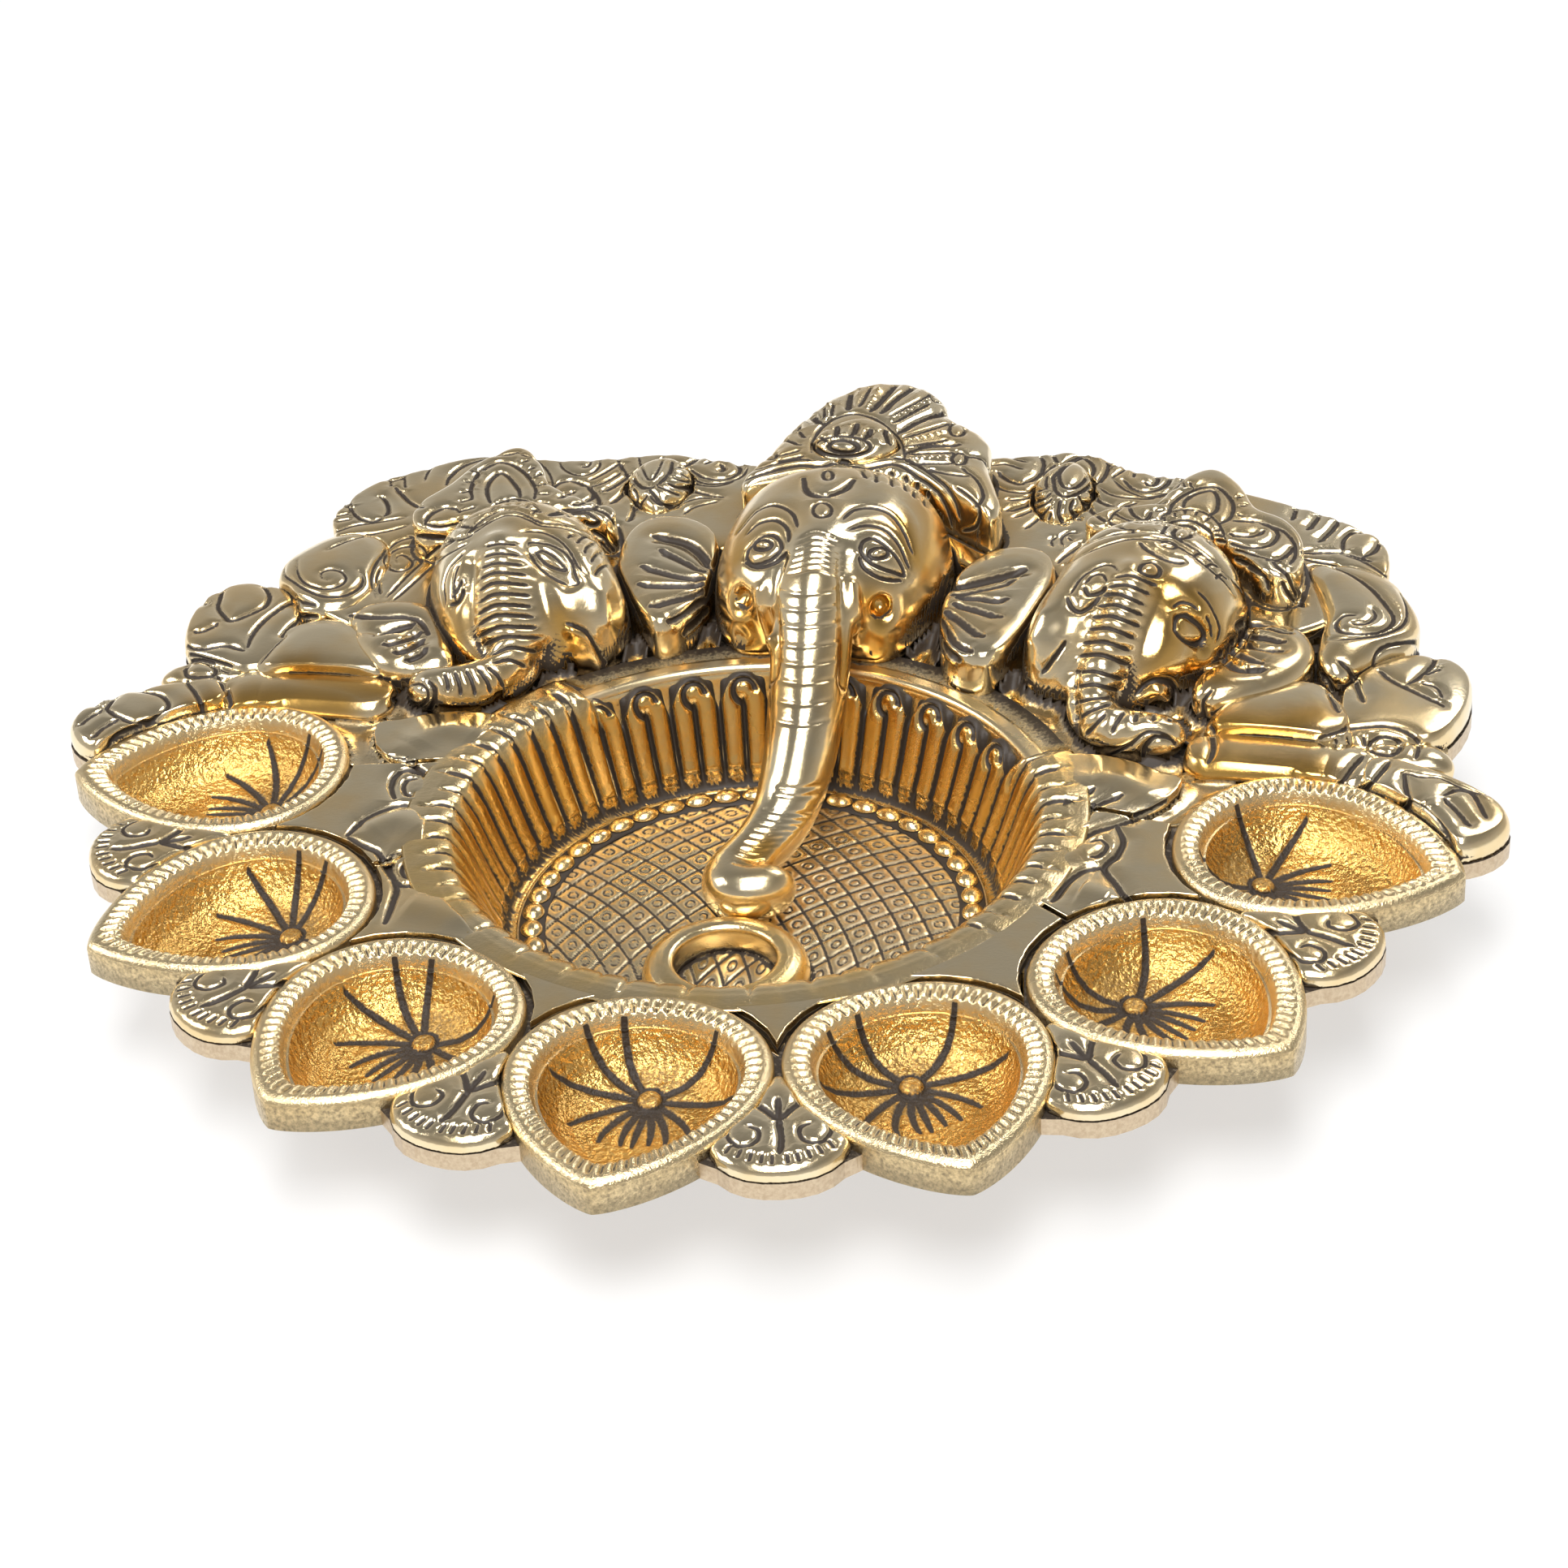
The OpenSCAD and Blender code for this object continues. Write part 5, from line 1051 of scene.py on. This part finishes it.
chase(face, "cuts", brow_level, 0.45, 0.55, [
    # left eye
    [(-18, 58), (-16.5, 67), (-13.5, 70.5), (-9.5, 68), (-7, 62)],
    [(-16, 58), (-15, 62.5), (-12, 64.5), (-9, 61.5), (-7.5, 56)],
    [(-14.5, 52), (-13, 57.5), (-10.5, 58), (-8.5, 54), (-9, 49.5), (-12, 46.5), (-14, 48.5), (-14.5, 52)],
    oval(-12, 54, 1.6, 1.9), [(-14, 47), (-11, 45.5), (-8, 48), (-7, 52)],
    # right eye
    [(1, 66), (2.5, 70.5), (6, 71.5), (10, 69), (14, 62), (17, 54)],
    [(3, 62), (6, 64.5), (10, 63), (14, 57), (17.5, 48)],
    [(6.5, 58), (7, 54), (10, 49.5), (15, 46.5), (17, 46), (14.5, 52), (11, 57), (8, 59.5), (6.5, 58)],
    oval(10.5, 53.5, 1.8, 2.1), [(7, 52), (9, 47.5), (13, 44), (17, 43.5)]])
chase(face, "bosses", brow_level, 1.6, 0.6, [[p, p] for p in ((-12, 54), (10.5, 53.5))])
# strokes fanning over the ears
trace(face, "cuts", 0.95, 0.9, [
    [(1172, 724), (1200, 717), (1232, 709), (1262, 701)],
    [(1175, 731), (1205, 724), (1232, 718), (1248, 713)],
    [(1180, 734), (1205, 734), (1225, 737), (1240, 736)],
    [(1176, 742), (1200, 748), (1220, 754), (1232, 758)],
    [(1165, 752), (1180, 760), (1195, 772), (1210, 782)],
    [(1158, 765), (1168, 780), (1178, 792), (1195, 801)],
    [(1152, 782), (1160, 797), (1170, 808), (1180, 813)],
    [(808, 660), (830, 663), (850, 670), (868, 685), (880, 705)],
    [(815, 676), (835, 685), (855, 695), (867, 702)],
    [(792, 696), (815, 702), (840, 708), (867, 711)], [(788, 718), (825, 719), (867, 718)],
    [(802, 745), (825, 738), (868, 728)], [(825, 765), (845, 755), (870, 740)],
    [(845, 780), (860, 768), (874, 752)]])
# folds of the trunk, from between the eyes down to the curl
folds = [[(985 - 2.5 * k, 663 + 7.4 * k), (1006, 655 + 7.4 * k), (1032 + 0.8 * k, 665 + 7.4 * k)]
         for k in range(7)]
trace(face, "creases", 0.6, 0.42, folds, 1.5)
rings = [[(959, y - 1), (990, y + 3), (1036 - max(0, y - 770) * 0.12, y - 3)]
         for y in (729, 749, 770, 794, 816, 839, 865, 890)]
rings += [[(958, 969), (985, 972), (1016, 966)], [(956, 979), (985, 982), (1012, 977)]]
rings += [[(940 - 4.6 * k, 998 + 8 * k), (965 - 5 * k, 1002 + 8 * k), (1000 - 8 * k, 1004 + 7 * k)]
          for k in range(9)]
trace(face, "creases", 0.45, 0.25, rings, 1.5)
# Deep amber patches beside the crown, on the cheeks and down the sides of the trunk: painted shade.
trace(face, "shade_spots", 5, 1, [
    [(905, 610), (900, 650), (905, 690)], [(1140, 620), (1150, 660), (1140, 700)], [(1110, 640), (1130, 690)],
    [(915, 740), (925, 780), (930, 810)], [(1070, 740), (1085, 770), (1080, 810)],
    [(950, 800), (950, 850), (948, 900)], [(1040, 800), (1040, 850), (1035, 900)]], 6)
# Smaller patches of painted shade under the ears and at the end of the trunk.
trace(face, "shade_spots", 3, 1, [
    [(872, 715), (876, 765)], [(1158, 745), (1160, 790)], [(945, 1040), (925, 1062)]], 6)
for name, part in middle.items():
    finish_relief(part, name + "_cast")

# Between the pieces the metal of the plate runs up into rounded corners, black with wax where it is narrow
# and rubbed through to the gold where it is open. A map of how high the tray stands shows where that is.
cell, margin, bowl_reach = 0.4 * mm, 9 * mm, 56 * mm
sheet_front, sheet_deep = -12 * mm, 0.5 * mm
low, high = np.array(cad_box[0]), np.array(cad_box[1])
corner = low[:2] - margin
relief_map = np.zeros(np.ceil((high[:2] + margin - corner) / cell).astype(int))
for piece in castings:
    points = points_of(piece.data)
    # the trunk that hangs over the bowl leaves no mark on it
    if piece.name == "head_middle_cast":
        points = points[np.hypot(points[:, 0], points[:, 1] - bowl_mid.y) > bowl_reach]
    i, j = ((points[:, :2] - corner) / cell).astype(int).T
    np.maximum.at(relief_map, (i, j), points[:, 2])
for _ in range(2):
    ring = np.max([np.roll(relief_map, turn, (0, 1)) for turn in ((1, 0), (-1, 0), (0, 1), (0, -1))], 0)
    relief_map = np.where(relief_map > 0, relief_map, ring)


def blurred(image, radius):
    u = np.fft.fftfreq(image.shape[0])[:, None]
    v = np.fft.rfftfreq(image.shape[1])
    soft = np.exp(-2 * (math.pi * radius * mm / cell) ** 2 * (u * u + v * v))
    return np.fft.irfft2(np.fft.rfft2(image) * soft, image.shape)


covered = blurred((relief_map > 0) * 1.0, 4) > 0.45
open_web = covered & (blurred((relief_map > 0) * 1.0, 0.6) < 0.97)
relief_map = np.where(relief_map > 0, relief_map, np.where(covered, plate_top, 0))
close_by, round_about = blurred(relief_map, 1.1), blurred(relief_map, 5)
bm = bmesh.new()
bmesh.ops.create_grid(bm, x_segments=432, y_segments=198, size=1)
for v in bm.verts:
    v.co = ((v.co.x + 1) / 2 * (high[0] - low[0]) + low[0],
            (v.co.y + 1) / 2 * (high[1] - sheet_front) + sheet_front, 0)
    i, j = int((v.co.x - corner[0]) / cell), int((v.co.y - corner[1]) / cell)
    v.co.z = plate_top + 0.05 * mm + 0.5 * (close_by[i, j] - plate_top) if open_web[i, j] else 0
bmesh.ops.delete(bm, geom=[v for v in bm.verts if v.co.z < plate_top], context="VERTS")
bmesh.ops.delete(bm, geom=[v for v in bm.verts if not v.link_faces], context="VERTS")
under = bmesh.ops.extrude_face_region(bm, geom=bm.faces[:])["geom"]
under = [v for v in under if isinstance(v, bmesh.types.BMVert)]
bmesh.ops.translate(bm, verts=under, vec=(0, 0, -sheet_deep))
ground = finished(bm, "plate_ground_cast", relief_gold, [])
points = points_of(ground.data)
write(ground.data, points, 0.24 + 0.3 * (points[:, 2] - plate_top) / mm)

# Dark wax is brushed over the whole casting and wiped off again, so it stays in every hollow, and the narrow
# crevices are darkened further with painted shade. The hollows also keep the deep amber of the lacquer,
# deepened with painted shade and warm reflected light. Both follow how far a spot lies below what is round
# it.


def painted(mesh, name):
    values = np.zeros(len(mesh.vertices), np.float32)
    if name in mesh.attributes:
        mesh.attributes[name].data.foreach_get("value", values)
    return values


for piece in castings:
    points, normals = points_of(piece.data), normals_of(piece.data)
    i, j = ((points[:, :2] - corner) / cell).astype(int).T
    shown = (normals[:, 2] > -0.1) & (relief_map[i, j] - points[:, 2] < 2.2 * mm)
    # darker in narrow crevices between the pieces: dark wax and painted shade
    crevice = np.clip(((close_by[i, j] - points[:, 2]) / mm - 0.45) / 0.9, 0, 1) * shown
    # deeper amber the further a spot lies below its surroundings: painted shade and reflected light
    hollow = np.clip(((round_about[i, j] - points[:, 2]) / mm - 0.6) / 4.5, 0, 1) * shown
    if piece.name == "offering_bowl_cast":
        hollow *= 0.1
    # inside the cups and the lining the amber deepens below the rim as painted shade, more towards the sides
    # of the lining
    if piece.name.startswith(("oil_cup", "lotus")):
        depth = (rim_z - points[:, 2]) / mm
        hollow = np.maximum(hollow, np.clip((depth - 0.8) / 3, 0, 1) * (normals[:, 2] > 0.12))
        side_wall = np.clip(np.abs(points[:, 0]) / (50 * mm), 0, 1)
        hollow *= 0.66 + 0.3 * side_wall if piece.name.startswith("lotus") else 0.95
    paint(piece.data, "wax_and_shade", np.maximum(painted(piece.data, "wax_and_shade"), 0.85 * crevice))
    paint(piece.data, "hollow", np.maximum(painted(piece.data, "hollow"), hollow))

# The floor is plain white paper. One broad soft light hangs above the front and a smaller one high over the
# middle, and weaker ones stand at the left and behind, in an even grey room that is darker overhead.
bm = bmesh.new()
bmesh.ops.create_grid(bm, x_segments=1, y_segments=1, size=6)
mesh = bpy.data.meshes.new("floor")
bm.to_mesh(mesh)
bm.free()
floor_piece = bpy.data.objects.new("floor", mesh)
scene.collection.objects.link(floor_piece)
paper, tree, skin = nodes_of("white_paper")
skin.inputs["Base Color"].default_value = (0.92, 0.92, 0.92, 1)
skin.inputs["Roughness"].default_value = 0.8
ray = tree.nodes.new("ShaderNodeLightPath")
seen = sums(tree, "MAXIMUM", ray.outputs["Is Camera Ray"],
            sums(tree, "MAXIMUM", ray.outputs["Is Glossy Ray"], ray.outputs["Is Transmission Ray"]))
white = tree.nodes.new("ShaderNodeEmission")
blend = tree.nodes.new("ShaderNodeMixShader")
tree.links.new(sums(tree, "MULTIPLY", seen, 0.6), blend.inputs["Fac"])
tree.links.new(skin.outputs["BSDF"], blend.inputs[1])
tree.links.new(white.outputs["Emission"], blend.inputs[2])
tree.links.new(blend.outputs["Shader"], tree.nodes["Material Output"].inputs["Surface"])
mesh.materials.append(paper)
studio = bpy.data.worlds.new("studio")
studio.use_nodes = True
tree = studio.node_tree
where = tree.nodes.new("ShaderNodeTexCoord")
split = tree.nodes.new("ShaderNodeSeparateXYZ")
tree.links.new(where.outputs["Generated"], split.inputs["Vector"])
overhead = ramp(tree, split.outputs["Z"], 0.1, 0.9, 0.5, 0.2)
tree.links.new(overhead, tree.nodes["Background"].inputs["Strength"])
tree.nodes["Background"].inputs["Color"].default_value = (1, 0.98, 0.97, 1)
scene.world = studio
for name, spot, target, size, watts in (
        ("top_light", (0.1, -0.55, 1.05), (0, 0, 0), 0.55, 10),
        ("high_light", (0.0, -0.05, 1.25), (0, 0, 0), 0.5, 6),
        ("left_light", (-0.95, -0.05, 0.8), (0, 0.02, 0.02), 0.45, 5),
        ("back_light", (0.35, 0.95, 0.9), (0, 0.05, 0.02), 0.4, 3)):
    lamp_data = bpy.data.lights.new(name, "AREA")
    lamp_data.size = size
    lamp_data.energy = watts
    softbox = bpy.data.objects.new(name, lamp_data)
    softbox.location = spot
    softbox.rotation_euler = (Vector(target) - Vector(spot)).to_track_quat("-Z", "Y").to_euler()
    scene.collection.objects.link(softbox)
scene.view_settings.view_transform = "Standard"
